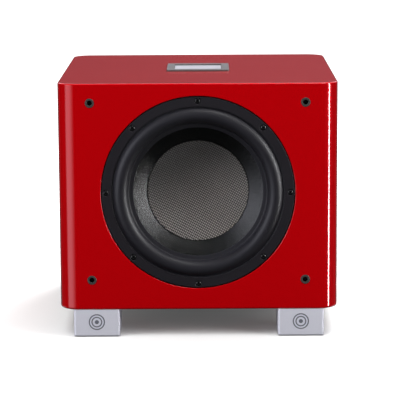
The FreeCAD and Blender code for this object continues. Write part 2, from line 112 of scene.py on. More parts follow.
class SubwooferCabinet(bpy.types.PropertyGroup):
    corner: length("Corner radius", "Radius of the upright corners", 0.026)
    top_edge: length("Top edge", "Rounding of the top's outer edge", 0.002)
    bottom_edge: length("Bottom edge", "Rounding of the underside's outer edge", 0.003)
    rebate: length("Rebate radius", "Radius of the round seats that the driver and radiator sit in", 0.131)
    rebate_lip: length("Rebate lip", "Rounding of the front rebate's edge", 0.0009)
    cutout: length("Cutout radius", "Radius of the holes behind the driver and radiator", 0.119)
    lacquer: colour("Lacquer", "Colour of the lacquer", (0.40, 0.0004, 0.0022))
    foot_metal: colour("Foot metal", "Colour of the satin feet", (0.74, 0.74, 0.83))
    inlay: colour("Inlay", "Colour of the rings let into the front feet", (0.115, 0.12, 0.15))
    badge: colour("Badge frame", "Colour of the badge's frame", (0.075, 0.068, 0.068))
    insert: colour("Badge insert", "Colour of the badge's brushed insert", (0.43, 0.42, 0.46))


class SubwooferDriver(bpy.types.PropertyGroup):
    screws: IntProperty(name="Screws", description="Screws round a flange", default=8, min=3)
    screw_circle: length("Screw circle", "Radius of the circle of flange screws", 0.1242)
    cap_radius: length("Cap radius", "Radius of the concave cap", 0.0685)
    cap_dish: length("Cap depth", "Depth of the concave cap's dish", 0.014)
    cap_rim: length("Cap rim", "How far the cap's rim lies behind the cabinet's front", 0.0187)
    falling_pitch: length("Falling pitch", "Spacing of the threads that fall to the right", 0.0030)
    rising_pitch: length("Rising pitch", "Spacing of the threads that rise to the right", 0.00264)
    weave_turn: FloatProperty(name="Weave turn", description="Slope of the threads that fall to the right",
                              default=math.radians(-28.0), subtype="ANGLE")
    thread: length("Thread width", "Width of one woven thread", 0.00125)
    crimp: length("Crimp", "How far a thread rises over the one that it crosses", 0.00035)
    thread_colour: colour("Thread", "Colour of the woven threads", (0.115, 0.108, 0.104))
    rubber: colour("Rubber", "Colour of the surrounds", (0.0095, 0.009, 0.0125))
    cone_colour: colour("Cone", "Colour of the coated paper cone", (0.0035, 0.0038, 0.0038))


class SubwooferRear(bpy.types.PropertyGroup):
    paint: colour("Plate paint", "Colour of the amplifier plate", (0.016, 0.016, 0.018))
    moulded: colour("Moulded parts", "Colour of knobs and sockets", (0.014, 0.014, 0.015))
    ridges: IntProperty(name="Ridges", description="Ridges round a knob", default=30, min=6)
    ticks: IntProperty(name="Ticks", description="Marks round a knob", default=11, min=2)


# ---------------------------------------------------------------------------
# Mesh making
# ---------------------------------------------------------------------------
def new_object(name, bm, material):
    bmesh.ops.recalc_face_normals(bm, faces=bm.faces)
    mesh = bpy.data.meshes.new(name)
    bm.to_mesh(mesh)
    bm.free()
    obj = bpy.data.objects.new(name, mesh)
    bpy.context.scene.collection.objects.link(obj)
    mesh.materials.append(material)
    return obj


def discard(obj):
    mesh = obj.data
    bpy.data.objects.remove(obj)
    bpy.data.meshes.remove(mesh)


def applied(obj):
    """Turns the modifiers' result into plain mesh and removes the modifiers."""
    graph = bpy.context.evaluated_depsgraph_get()
    mesh = bpy.data.meshes.new_from_object(obj.evaluated_get(graph), depsgraph=graph)
    obj.modifiers.clear()
    old, obj.data = obj.data, mesh
    mesh.name = obj.name
    bpy.data.meshes.remove(old)
    return obj


def shade_smooth(obj):
    obj.data.polygons.foreach_set("use_smooth", [True] * len(obj.data.polygons))


def smoothed(obj, degrees=32.0):
    """Smooth shading that keeps sharp edges and lets the large faces lead."""
    shade_smooth(obj)
    obj.data.set_sharp_from_angle(angle=math.radians(degrees))
    even = obj.modifiers.new("Even normals", "WEIGHTED_NORMAL")
    even.keep_sharp = True
    return applied(obj)


def bevelled(obj, width, segments=3):
    edges = obj.modifiers.new("Edges", "BEVEL")
    edges.width = width
    edges.segments = segments
    edges.limit_method = "ANGLE"
    return applied(obj)


def carved(obj, cutters):
    """Cuts shapes out of a piece."""
    for cutter in cutters:
        cut = obj.modifiers.new("Cut", "BOOLEAN")
        cut.operation = "DIFFERENCE"
        cut.solver = "EXACT"
        cut.material_mode = "TRANSFER"
        cut.object = cutter
    applied(obj)
    for cutter in cutters:
        discard(cutter)
    return obj


def joined(parts):
    """Adds the meshes of the other parts to the first."""
    bm = bmesh.new()
    for part in parts:
        bm.from_mesh(part.data)
    bm.to_mesh(parts[0].data)
    bm.free()
    for part in parts[1:]:
        discard(part)
    return parts[0]


def placed(obj, matrix):
    """Moves the mesh itself, so the object stays at the origin."""
    obj.data.transform(matrix)
    return obj


def arc(start, middle, end, count):
    """Points on the arc through three points, without the first."""
    (ax, ay), (bx, by), (cx, cy) = start, middle, end
    d = 2 * (ax * (by - cy) + bx * (cy - ay) + cx * (ay - by))
    a2, b2, c2 = ax * ax + ay * ay, bx * bx + by * by, cx * cx + cy * cy
    ux = (a2 * (by - cy) + b2 * (cy - ay) + c2 * (ay - by)) / d
    uy = (a2 * (cx - bx) + b2 * (ax - cx) + c2 * (bx - ax)) / d
    radius = math.hypot(ax - ux, ay - uy)
    first, half, last = (math.atan2(y - uy, x - ux) for x, y in (start, middle, end))
    turn = (last - first) % (2 * math.pi)
    if (half - first) % (2 * math.pi) > turn:
        turn -= 2 * math.pi
    angles = [first + turn * k / count for k in range(1, count + 1)]
    return [(ux + radius * math.cos(a), uy + radius * math.sin(a)) for a in angles]


def softened(corners, steps=4):
    """An outline with each corner rounded by its own radius, given as (x, y, radius)."""
    out = []
    for k, (x, y, radius) in enumerate(corners):
        corner = Vector((x, y))
        before = (Vector(corners[k - 1][:2]) - corner).normalized()
        after = (Vector(corners[(k + 1) % len(corners)][:2]) - corner).normalized()
        half = before.angle(after) / 2
        if radius <= 0:
            out.append((x, y))
            continue
        centre = corner + (before + after).normalized() * (radius / math.sin(half))
        start = corner + before * (radius / math.tan(half)) - centre
        sweep = start.angle_signed(corner + after * (radius / math.tan(half)) - centre)
        for s in range(steps + 1):
            p = centre + Matrix.Rotation(-sweep * s / steps, 2) @ start
            out.append((p.x, p.y))
    return out


def mm(points):
    return [tuple(value * MM for value in point) for point in points]


def front_axis(r, depth, angle):
    """The driver's axis: depth runs back from the cabinet's front."""
    return Vector((r * math.cos(angle), Y_FRONT + depth, DRIVER_Z + r * math.sin(angle)))


def under_axis(r, height, angle):
    """The radiator's axis: height runs up from the cabinet's underside."""
    return Vector((r * math.cos(angle), RADIATOR_Y + r * math.sin(angle), Z_BOTTOM + height))


def level_axis(x=0.0, z=0.0, y=0.0):
    """An axis along Y."""
    return lambda r, depth, angle: Vector((x + r * math.cos(angle), y + depth, z + r * math.sin(angle)))


def upright_axis(x, y):
    """An axis along Z."""
    return lambda r, height, angle: Vector((x + r * math.cos(angle), y + r * math.sin(angle), height))


def turned(name, profile, place, material, count=160):
    """A solid of revolution. A profile that starts and ends on the axis closes at its poles."""
    bm = bmesh.new()
    rings = []
    for r, along in profile:
        if r < 1e-7:
            rings.append([bm.verts.new(place(0.0, along, 0.0))] * count)
        else:
            rings.append([bm.verts.new(place(r, along, 2 * math.pi * k / count)) for k in range(count)])
    poles = profile[0][0] < 1e-7 and profile[-1][0] < 1e-7
    for one, two in list(zip(rings, rings[1:])) + ([] if poles else [(rings[-1], rings[0])]):
        for k in range(count):
            n = (k + 1) % count
            corners = list(dict.fromkeys((one[k], one[n], two[n], two[k])))
            if len(corners) > 2:
                bm.faces.new(corners)
    return new_object(name, bm, material)


def rounded_plan(half_x, half_y, radius, steps):
    """Points round a rectangle with round corners, centred on zero."""
    points = []
    for sx, sy, start in ((1, 1, 0), (-1, 1, 90), (-1, -1, 180), (1, -1, 270)):
        for k in range(steps + 1):
            a = math.radians(start + 90 * k / steps)
            points.append((sx * (half_x - radius) + radius * math.cos(a),
                           sy * (half_y - radius) + radius * math.sin(a)))
    return points


def edge_layers(low, high, low_edge=0.0, high_edge=0.0, steps=6):
    """Heights and insets of a block whose lower and upper edges are quarter rounds."""
    turns = [math.pi / 2 * k / steps for k in range(steps + 1)]
    lower = [(low + low_edge * (1 - math.cos(a)), low_edge * (1 - math.sin(a))) for a in turns]
    upper = [(high - high_edge * (1 - math.sin(a)), high_edge * (1 - math.cos(a))) for a in turns]
    return (lower if low_edge else [(low, 0.0)]) + (upper if high_edge else [(high, 0.0)])


def slab(name, place, half_x, half_y, radius, layers, material, steps=16):
    """A block with round corners, built up in layers of (height, inset)."""
    bm = bmesh.new()
    rings = []
    for height, inset in layers:
        plan = rounded_plan(half_x - inset, half_y - inset, max(radius - inset, 1e-4), steps)
        rings.append([bm.verts.new(place(x, y, height)) for x, y in plan])
    for one, two in zip(rings, rings[1:]):
        for k in range(len(one)):
            n = (k + 1) % len(one)
            bm.faces.new((one[k], one[n], two[n], two[k]))
    bm.faces.new(rings[0])
    bm.faces.new(rings[-1])
    return new_object(name, bm, material)


def standing(x, y):
    """Where a slab's points go when its layers run up."""
    return lambda u, v, h: Vector((x + u, y + v, h))


def block(name, low, high, material):
    bm = bmesh.new()
    bmesh.ops.create_cube(bm, size=1.0)
    for v in bm.verts:
        v.co = Vector([(low[i] + high[i]) / 2 + v.co[i] * (high[i] - low[i]) for i in range(3)])
    return new_object(name, bm, material)


# ---------------------------------------------------------------------------
# Node trees
# ---------------------------------------------------------------------------
def node(tree, kind, inputs=(), **settings):
    """Adds a node, sets its options and fills its inputs from values or other nodes' outputs."""
    made = tree.nodes.new(kind)
    for key, value in settings.items():
        setattr(made, key, value)
    for key, value in dict(inputs).items():
        if isinstance(value, bpy.types.NodeSocket):
            tree.links.new(value, made.inputs[key])
        else:
            made.inputs[key].default_value = value
    return made


def maths(tree, operation, *values, clamp=False):
    return node(tree, "ShaderNodeMath", enumerate(values), operation=operation, use_clamp=clamp).outputs[0]


def vector_maths(tree, operation, *values):
    made = node(tree, "ShaderNodeVectorMath", enumerate(values), operation=operation)
    return made.outputs["Value" if operation in ("LENGTH", "DOT_PRODUCT") else "Vector"]


def scaled(tree, vector, factor):
    return node(tree, "ShaderNodeVectorMath", {0: vector, "Scale": factor}, operation="SCALE").outputs[0]


def smooth_step(tree, value, low, high):
    ramp = node(tree, "ShaderNodeMapRange", {"Value": value, "From Min": low, "From Max": high},
                interpolation_type="SMOOTHSTEP")
    return ramp.outputs["Result"]


def socketed(tree, direction, **sockets):
    """Adds named sockets to a tree's outside: a name with its kind, or its kind and default."""
    for name, kind in sockets.items():
        kind, value = kind if isinstance(kind, tuple) else (kind, None)
        made = tree.interface.new_socket(name.replace("_", " "), in_out=direction,
                                         socket_type="NodeSocket" + kind)
        if value is not None:
            made.default_value = value


def with_tree(obj, tree, values):
    """Runs a Geometry Nodes tree on an object and keeps the result as plain mesh."""
    nodes = obj.modifiers.new(tree.name, "NODES")
    nodes.node_group = tree
    for item in tree.interface.items_tree:
        if item.in_out == "INPUT" and item.name in values:
            nodes[item.identifier] = values[item.name]
    return applied(obj)


def finished_output(tree, geometry, material):
    real = node(tree, "GeometryNodeRealizeInstances", {0: geometry}).outputs[0]
    dressed = node(tree, "GeometryNodeSetMaterial", {"Geometry": real, "Material": material}).outputs[0]
    node(tree, "NodeGroupOutput", {0: dressed})


def spots_tree():
    """One shape at each point, each turned about an axis by its own share of a spin."""
    tree = bpy.data.node_groups.get("Shape at spots")
    if tree:
        return tree
    tree = bpy.data.node_groups.new("Shape at spots", "GeometryNodeTree")
    socketed(tree, "INPUT", Spots="Geometry", Shape="Object", Axis="Vector", Spin="Float",
             Finish="Material")
    socketed(tree, "OUTPUT", Geometry="Geometry")
    given = node(tree, "NodeGroupInput").outputs
    points = node(tree, "GeometryNodeMeshToPoints", {"Mesh": given["Spots"]}).outputs[0]
    shape = node(tree, "GeometryNodeObjectInfo", {"Object": given["Shape"]}).outputs["Geometry"]
    share = node(tree, "FunctionNodeRandomValue", {"Seed": 7}, data_type="FLOAT").outputs[1]
    turn = scaled(tree, given["Axis"], maths(tree, "MULTIPLY", share, given["Spin"]))
    copies = node(tree, "GeometryNodeInstanceOnPoints",
                  {"Points": points, "Instance": shape, "Rotation": turn}).outputs[0]
    finished_output(tree, copies, given["Finish"])
    return tree


def at_spots(name, shape, spots, material, spin=0.0, axis=(0, 1, 0)):
    bm = bmesh.new()
    for spot in spots:
        bm.verts.new(spot)
    obj = new_object(name, bm, material)
    with_tree(obj, spots_tree(), {"Shape": shape, "Axis": axis, "Spin": spin, "Finish": material})
    discard(shape)
    return obj


def turns_tree():
    """One shape repeated round the Y axis, at an even step, and then moved to a centre."""
    tree = bpy.data.node_groups.get("Shape round an axis")
    if tree:
        return tree
    tree = bpy.data.node_groups.new("Shape round an axis", "GeometryNodeTree")
    socketed(tree, "INPUT", Shape="Object", Count="Int", Start="Float", Step="Float", Centre="Vector",
             Finish="Material")
    socketed(tree, "OUTPUT", Geometry="Geometry")
    given = node(tree, "NodeGroupInput").outputs
    shape = node(tree, "GeometryNodeObjectInfo", {"Object": given["Shape"]}).outputs["Geometry"]
    line = node(tree, "GeometryNodeMeshLine", {"Count": given["Count"], "Offset": (0, 0, 0)}).outputs[0]
    index = node(tree, "GeometryNodeInputIndex").outputs[0]
    angle = maths(tree, "MULTIPLY_ADD", index, given["Step"], given["Start"])
    turn = node(tree, "ShaderNodeCombineXYZ", {"Y": angle}).outputs[0]
    copies = node(tree, "GeometryNodeInstanceOnPoints",
                  {"Points": line, "Instance": shape, "Rotation": turn}).outputs[0]
    moved = node(tree, "GeometryNodeTransform",
                 {"Geometry": copies, "Translation": given["Centre"]}).outputs[0]
    finished_output(tree, moved, given["Finish"])
    return tree


def round_axis(name, shape, count, start, step, centre, material):
    """Copies of a shape round an axis along Y, as one piece; the shape is used up."""
    obj = new_object(name, bmesh.new(), material)
    with_tree(obj, turns_tree(), {"Shape": shape, "Count": count, "Start": start, "Step": step,
                                  "Centre": centre, "Finish": material})
    discard(shape)
    return obj


def weave_tree():
    """Parallel threads on a dish, each rising over and under the ones that would cross it."""
    tree = bpy.data.node_groups.get("Woven threads")
    if tree:
        return tree
    tree = bpy.data.node_groups.new("Woven threads", "GeometryNodeTree")
    socketed(tree, "INPUT", Reach="Float", Dish="Float", Rim="Float", Pitch="Float", Cross="Float",
             Phase="Float", Width="Float", Crimp="Float", Turn="Float", Centre="Vector", Finish="Material")
    socketed(tree, "OUTPUT", Geometry="Geometry")
    given = node(tree, "NodeGroupInput").outputs
    half_rows = maths(tree, "FLOOR", maths(tree, "DIVIDE", given["Reach"], given["Pitch"]))
    rows = maths(tree, "MULTIPLY_ADD", half_rows, 2.0, 1.0)
    first = maths(tree, "MULTIPLY", maths(tree, "MULTIPLY", half_rows, given["Pitch"]), -1.0)
    offset = node(tree, "ShaderNodeCombineXYZ", {"Y": given["Pitch"]}).outputs[0]
    start = node(tree, "ShaderNodeCombineXYZ", {"Y": first}).outputs[0]
    line = node(tree, "GeometryNodeMeshLine",
                {"Count": rows, "Start Location": start, "Offset": offset}).outputs[0]
    back = node(tree, "ShaderNodeCombineXYZ", {"X": maths(tree, "MULTIPLY", given["Reach"], -1.0)}).outputs[0]
    ahead = node(tree, "ShaderNodeCombineXYZ", {"X": given["Reach"]}).outputs[0]
    thread = node(tree, "GeometryNodeCurvePrimitiveLine", {"Start": back, "End": ahead}).outputs[0]
    steps = maths(tree, "MULTIPLY_ADD", maths(tree, "DIVIDE", given["Reach"], given["Cross"]), 4.0, 1.0)
    fine = node(tree, "GeometryNodeResampleCurve", {"Curve": thread, "Count": steps}).outputs[0]
    copies = node(tree, "GeometryNodeInstanceOnPoints", {"Points": line, "Instance": fine}).outputs[0]
    curves = node(tree, "GeometryNodeRealizeInstances", {0: copies}).outputs[0]
    here = node(tree, "GeometryNodeInputPosition").outputs[0]
    place = node(tree, "ShaderNodeSeparateXYZ", {0: here}).outputs
    square = maths(tree, "POWER", maths(tree, "DIVIDE", place["Y"], given["Reach"]), 2.0)
    chord = maths(tree, "SQRT", maths(tree, "MAXIMUM", maths(tree, "SUBTRACT", 1.0, square), 0.0))
    x = maths(tree, "MULTIPLY", place["X"], chord)
    row = maths(tree, "ADD", maths(tree, "DIVIDE", place["Y"], given["Pitch"]), given["Phase"])
    beat = maths(tree, "ADD", maths(tree, "DIVIDE", x, given["Cross"]), row)
    wave = maths(tree, "COSINE", maths(tree, "MULTIPLY", beat, math.pi))
    reach2 = maths(tree, "POWER", given["Reach"], 2.0)
    ball = maths(tree, "DIVIDE", maths(tree, "MULTIPLY_ADD", given["Dish"], given["Dish"], reach2),
                 maths(tree, "MULTIPLY", given["Dish"], 2.0))
    flat2 = maths(tree, "MULTIPLY_ADD", x, x, maths(tree, "POWER", place["Y"], 2.0))
    drop = maths(tree, "SQRT", maths(tree, "SUBTRACT", maths(tree, "POWER", ball, 2.0), flat2))
    depth = maths(tree, "ADD", maths(tree, "SUBTRACT", maths(tree, "ADD", given["Rim"], given["Dish"]), ball),
                  drop)
    height = maths(tree, "MULTIPLY_ADD", wave, given["Crimp"], maths(tree, "MULTIPLY", depth, -1.0))
    spot = node(tree, "ShaderNodeCombineXYZ", {"X": x, "Y": place["Y"], "Z": height}).outputs[0]
    crest = maths(tree, "MULTIPLY_ADD", wave, 0.5, 0.5)
    marked = node(tree, "GeometryNodeStoreNamedAttribute",
                  {"Geometry": curves, "Name": "crest", "Value": crest}, data_type="FLOAT").outputs[0]
    shaped = node(tree, "GeometryNodeSetPosition", {"Geometry": marked, "Position": spot}).outputs[0]
    upright = node(tree, "GeometryNodeSetCurveNormal", {0: shaped}, mode="Z_UP").outputs[0]
    outline = node(tree, "GeometryNodeCurvePrimitiveCircle", {"Resolution": 6, "Radius": 1.0}).outputs[0]
    size = node(tree, "ShaderNodeCombineXYZ",
                {"X": maths(tree, "MULTIPLY", given["Width"], 0.5),
                 "Y": maths(tree, "MULTIPLY", given["Crimp"], 0.9), "Z": 1.0}).outputs[0]
    section = node(tree, "GeometryNodeTransform", {"Geometry": outline, "Scale": size}).outputs[0]
    threads = node(tree, "GeometryNodeCurveToMesh",
                   {"Curve": upright, "Profile Curve": section, "Fill Caps": True}).outputs[0]
    turn = node(tree, "ShaderNodeCombineXYZ", {"Z": given["Turn"]}).outputs[0]
    spun = node(tree, "GeometryNodeTransform", {"Geometry": threads, "Rotation": turn}).outputs[0]
    facing = {"Geometry": spun, "Rotation": (math.pi / 2, 0, 0), "Translation": given["Centre"]}
    moved = node(tree, "GeometryNodeTransform", facing).outputs[0]
    finished_output(tree, moved, given["Finish"])
    return tree


# ---------------------------------------------------------------------------
# Materials
# ---------------------------------------------------------------------------
def grain_group():
    """Uneven grain over a surface: a colour varied about a base, a roughness and a height."""
    group = bpy.data.node_groups.get("Surface grain")
    if group:
        return group
    group = bpy.data.node_groups.new("Surface grain", "ShaderNodeTree")
    socketed(group, "INPUT", Base=("Color", (0.5, 0.5, 0.5, 1)), Size=("Float", 400.0),
             Stretch=("Vector", (1, 1, 1)), Tone=("Float", 0.1), Roughness=("Float", 0.5),
             Roughness_range=("Float", 0.1), Cloud=("Float", 0.5))
    socketed(group, "OUTPUT", Colour="Color", Roughness="Float", Height="Float")
    given = node(group, "NodeGroupInput").outputs
    where = node(group, "ShaderNodeTexCoord").outputs["Object"]
    stretched = vector_maths(group, "MULTIPLY", where, given["Stretch"])
    fine = node(group, "ShaderNodeTexNoise", {"Vector": stretched, "Scale": given["Size"], "Detail": 4.0,
                                              "Roughness": 0.6}).outputs["Fac"]
    broad = node(group, "ShaderNodeTexNoise", {"Vector": where, "Scale": 14.0, "Detail": 3.0}).outputs["Fac"]
    cloud = maths(group, "MULTIPLY", maths(group, "SUBTRACT", broad, 0.5), given["Cloud"])
    swing = maths(group, "MULTIPLY", maths(group, "ADD", maths(group, "SUBTRACT", fine, 0.5), cloud), 2.0)
    tone = maths(group, "MULTIPLY_ADD", swing, given["Tone"], 1.0)
    rough = maths(group, "MULTIPLY_ADD", swing, given["Roughness range"], given["Roughness"], clamp=True)
    node(group, "NodeGroupOutput", {"Colour": scaled(group, given["Base"], tone), "Roughness": rough,
                                    "Height": fine})
    return group


def grained(name, base, roughness, size, tone=0.15, rough_range=0.1, bump=0.0, relief=0.0002,
            stretch=(1, 1, 1), cloud=0.5, **sockets):
    """A material with the shared grain driving its colour, roughness and bump."""
    material = bpy.data.materials.new(name)
    material.use_nodes = True
    tree = material.node_tree
    bsdf = tree.nodes["Principled BSDF"]
    for key, value in sockets.items():
        bsdf.inputs[key.replace("_", " ")].default_value = value
    grain = node(tree, "ShaderNodeGroup", node_tree=grain_group())
    for key, value in (("Base", (*base, 1.0)), ("Size", size), ("Stretch", stretch), ("Tone", tone),
                       ("Roughness", roughness), ("Roughness range", rough_range), ("Cloud", cloud)):
        grain.inputs[key].default_value = value
    tree.links.new(grain.outputs["Colour"], bsdf.inputs["Base Color"])
    tree.links.new(grain.outputs["Roughness"], bsdf.inputs["Roughness"])
    if bump > 0:
        raised = node(tree, "ShaderNodeBump", {"Strength": bump, "Distance": relief,
                                               "Height": grain.outputs["Height"]})
        tree.links.new(raised.outputs["Normal"], bsdf.inputs["Normal"])
    return material


# Each finish: its title, its colour or the setting that holds it, roughness, grain size and other looks
SURFACES = {
    "lacquer": ("Red lacquer", "cabinet.lacquer", 0.22, 140.0,
                dict(tone=0.02, rough_range=0.02, bump=0.008, relief=0.00002, cloud=0.2,
                     Specular_IOR_Level=0.8, Specular_Tint=(1.0, 0.02, 0.05, 1.0), Coat_Weight=1.0,
                     Coat_Roughness=0.02, Coat_IOR=1.5)),
    "foot metal": ("Satin foot metal", "cabinet.foot_metal", 0.36, 900.0,
                   dict(tone=0.05, rough_range=0.06, bump=0.05, relief=0.00005, stretch=(1, 1, 6),
                        cloud=0.2, Metallic=0.35)),
    "inlay": ("Slate inlay", "cabinet.inlay", 0.35, 500.0, dict(tone=0.08, Coat_Weight=0.3)),
    "badge": ("Badge frame paint", "cabinet.badge", 0.45, 900.0,
              dict(tone=0.08, bump=0.05, Metallic=0.3)),
    "brushed": ("Brushed insert", "cabinet.insert", 0.34, 700.0,
                dict(tone=0.14, rough_range=0.14, bump=0.08, stretch=(0.04, 5, 1), Metallic=0.6)),
    "rubber": ("Surround rubber", "driver.rubber", 0.47, 420.0,
               dict(tone=0.12, rough_range=0.05, bump=0.04, relief=0.0001, Specular_IOR_Level=0.5)),
    "cone": ("Coated cone paper", "driver.cone_colour", 0.20, 460.0,
             dict(tone=0.6, rough_range=0.10, bump=0.7, relief=0.0010, cloud=0.3,
                  Specular_IOR_Level=0.55)),
    "thread": ("Resin-coated thread", "driver.thread_colour", 0.32, 700.0,
               dict(tone=0.3, rough_range=0.08, cloud=0.3, Specular_IOR_Level=0.6)),
    "plate": ("Plate paint", "rear.paint", 0.48, 1300.0, dict(tone=0.25, bump=0.3, relief=0.0001)),
    "moulded": ("Moulded black", "rear.moulded", 0.4, 1100.0, dict(tone=0.2, bump=0.15, relief=0.0001)),
    "board": ("Bare board", (0.23, 0.15, 0.09), 0.8, 900.0, dict(tone=0.35, bump=0.3)),
    # Painted shade: near black inside the round seats, where the gap lies in shadow
    "seat paint": ("Black seat paint", (0.006, 0.006, 0.0065), 0.6, 900.0, dict(tone=0.3, bump=0.2)),
    "driver screw": ("Black driver screw", (0.0055, 0.0055, 0.006), 0.28, 900.0,
                     dict(tone=0.2, Coat_Weight=0.4)),
    "socket rubber": ("Socket rubber", (0.035, 0.032, 0.030), 0.5, 700.0, dict(tone=0.2, bump=0.1)),
    "trim": ("Trim ring plastic", (0.0088, 0.0076, 0.0102), 0.5, 1100.0,
             dict(tone=0.25, bump=0.15, relief=0.0001, Specular_IOR_Level=0.35)),
    "black screw": ("Blackened screw", (0.03, 0.03, 0.032), 0.3, 800.0, dict(tone=0.2, Metallic=0.9)),
    "zinc": ("Zinc plating", (0.45, 0.45, 0.44), 0.35, 800.0, dict(Metallic=1.0)),
    "cap backing": ("Cap backing", (0.004, 0.0035, 0.0035), 0.5, 500.0, dict(tone=0.2)),
    "cast": ("Cast frame paint", (0.012, 0.012, 0.013), 0.55, 1100.0, dict(tone=0.2, bump=0.3)),
    "steel": ("Motor steel", (0.20, 0.20, 0.21), 0.38, 600.0, dict(Metallic=0.9)),
    "ferrite": ("Ground ferrite", (0.03, 0.03, 0.033), 0.6, 800.0, dict(tone=0.25, bump=0.2)),
    "cloth": ("Resined cloth", (0.30, 0.16, 0.05), 0.75, 1800.0, dict(tone=0.4, bump=0.5)),
    "tinsel": ("Tinsel braid", (0.55, 0.40, 0.26), 0.4, 1500.0, dict(tone=0.3, bump=0.3, Metallic=0.9)),
    "copper": ("Copper wire", (0.60, 0.22, 0.08), 0.3, 1100.0, dict(Metallic=0.9)),
    "aluminium": ("Rolled aluminium", (0.62, 0.62, 0.64), 0.35, 700.0, dict(tone=0.08, Metallic=1.0)),
    "foam": ("Foam seal", (0.02, 0.02, 0.02), 0.85, 1800.0, dict(tone=0.5, bump=0.6)),
    "panel": ("Radiator panel", (0.012, 0.012, 0.013), 0.42, 500.0, dict(tone=0.25, bump=0.2)),
    "gold": ("Gold plating", (0.78, 0.52, 0.18), 0.22, 700.0, dict(tone=0.06, Metallic=1.0)),
    "nickel": ("Nickel plating", (0.62, 0.60, 0.55), 0.22, 700.0, dict(tone=0.06, Metallic=1.0)),
    "print": ("Scale print", (0.55, 0.55, 0.53), 0.5, 1100.0, dict(tone=0.08)),
    "red marker": ("Red marker", (0.45, 0.015, 0.015), 0.4, 1100.0, dict()),
    "white marker": ("White marker", (0.65, 0.65, 0.63), 0.4, 1100.0, dict()),
    "solder mask": ("Solder mask", (0.01, 0.10, 0.04), 0.3, 400.0, dict(tone=0.2)),
    "sleeve": ("Capacitor sleeve", (0.02, 0.03, 0.09), 0.25, 600.0, dict()),
    "tape": ("Winding tape", (0.42, 0.28, 0.04), 0.5, 300.0, dict(tone=0.35, bump=0.4)),
    "pad": ("Pad rubber", (0.018, 0.018, 0.018), 0.7, 900.0, dict(tone=0.2, bump=0.2)),
    "cord": ("Cord jacket", (0.015, 0.015, 0.015), 0.5, 900.0, dict(tone=0.2, bump=0.1)),
}
FINISHES = {}


def painted_glints_and_shade(material):
    """Threads with a painted highlight where they rise over each other, and painted shade that darkens the
    cap towards its upper left.
    """
    tree = material.node_tree
    bsdf = tree.nodes["Principled BSDF"]
    colour_in = bsdf.inputs["Base Color"].links[0].from_socket
    crest = node(tree, "ShaderNodeAttribute", attribute_name="crest").outputs["Fac"]
    # Painted highlight: the thread colour brightens towards each crest, standing in for glints
    painted_light_tone = maths(tree, "MULTIPLY_ADD", smooth_step(tree, crest, 0.45, 0.98), 2.9, 0.14)
    # Painted shade: the colour drops to 0.28 of itself towards the cap's upper left
    where = node(tree, "ShaderNodeTexCoord").outputs["Object"]
    across, down = 0.42, -0.91
    along = vector_maths(tree, "DOT_PRODUCT", where, (across, 0.0, down))
    centre = down * DRIVER_Z
    painted_shade_ramp = smooth_step(tree, along, centre - 0.055, centre + 0.030)
    painted_light_tone = maths(tree, "MULTIPLY", painted_light_tone, maths(tree, "MULTIPLY_ADD", painted_shade_ramp, 0.72, 0.28))
    tree.links.new(scaled(tree, colour_in, painted_light_tone), bsdf.inputs["Base Color"])


def finish(name):
    """The finish of that name, made the first time that it's asked for."""
    if name not in FINISHES:
        title, base, roughness, size, looks = SURFACES[name]
        if isinstance(base, str):
            group, setting = base.split(".")
            base = tuple(getattr(getattr(bpy.context.scene, "subwoofer_" + group), setting))
        FINISHES[name] = grained(title, base, roughness, size, **looks)
        # The thread finish gets painted highlights on its crests and painted shade across the cap
        if name == "thread":
            painted_glints_and_shade(FINISHES[name])
    return FINISHES[name]


def dress(name, *nodes):
    """Gives CAD nodes that keep their own shape one of the finishes."""
    for each in nodes:
        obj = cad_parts[each]
        obj.data.materials.clear()
        obj.data.materials.append(finish(name))


def settle(piece, body, slot, *nodes):
    """Puts a finished piece on its body, in place of its CAD nodes."""
    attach(piece, body)
    if nodes:
        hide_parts(*nodes)


# ---------------------------------------------------------------------------
# Cabinet
# ---------------------------------------------------------------------------
def peg_spots():
    low, high = node_box("grille_sockets")
    collar = 0.00625
    columns, rows = (low.x + collar, high.x - collar), (low.z + collar, high.z - collar)
    return [(x, low.y, z) for x in columns for z in rows]


def seat_cutter(place, rebate, depth, cutout, wall, lip, material):
    """The shape that a driver's round seat and the hole behind it leave."""
    over = 0.004
    wide = rebate + lip
    profile = [(0, -over), (wide, -over)]
    if lip:
        half_way = lip * QUARTER_MIDDLE
        profile += [(wide, 0.0)] + arc((wide, 0.0), (rebate + half_way, half_way), (rebate, lip), 5)
    profile += [(rebate, depth), (cutout, depth), (cutout, wall + over), (0, wall + over)]
    seat = turned("seat", profile, place, material, 224)
    # Painted shade: the seat's walls and floor behind the lip go near black, standing in for the shadow in
    # the gap round the driver and the radiator
    seat.data.materials.append(finish("seat paint"))
    outside = place(0.0, lip + 0.0002, 0.0)
    inwards = (place(0.0, 1.0, 0.0) - place(0.0, 0.0, 0.0)).normalized()
    for face in seat.data.polygons:
        face.material_index = int((face.center - outside).dot(inwards) > 0)
    return seat


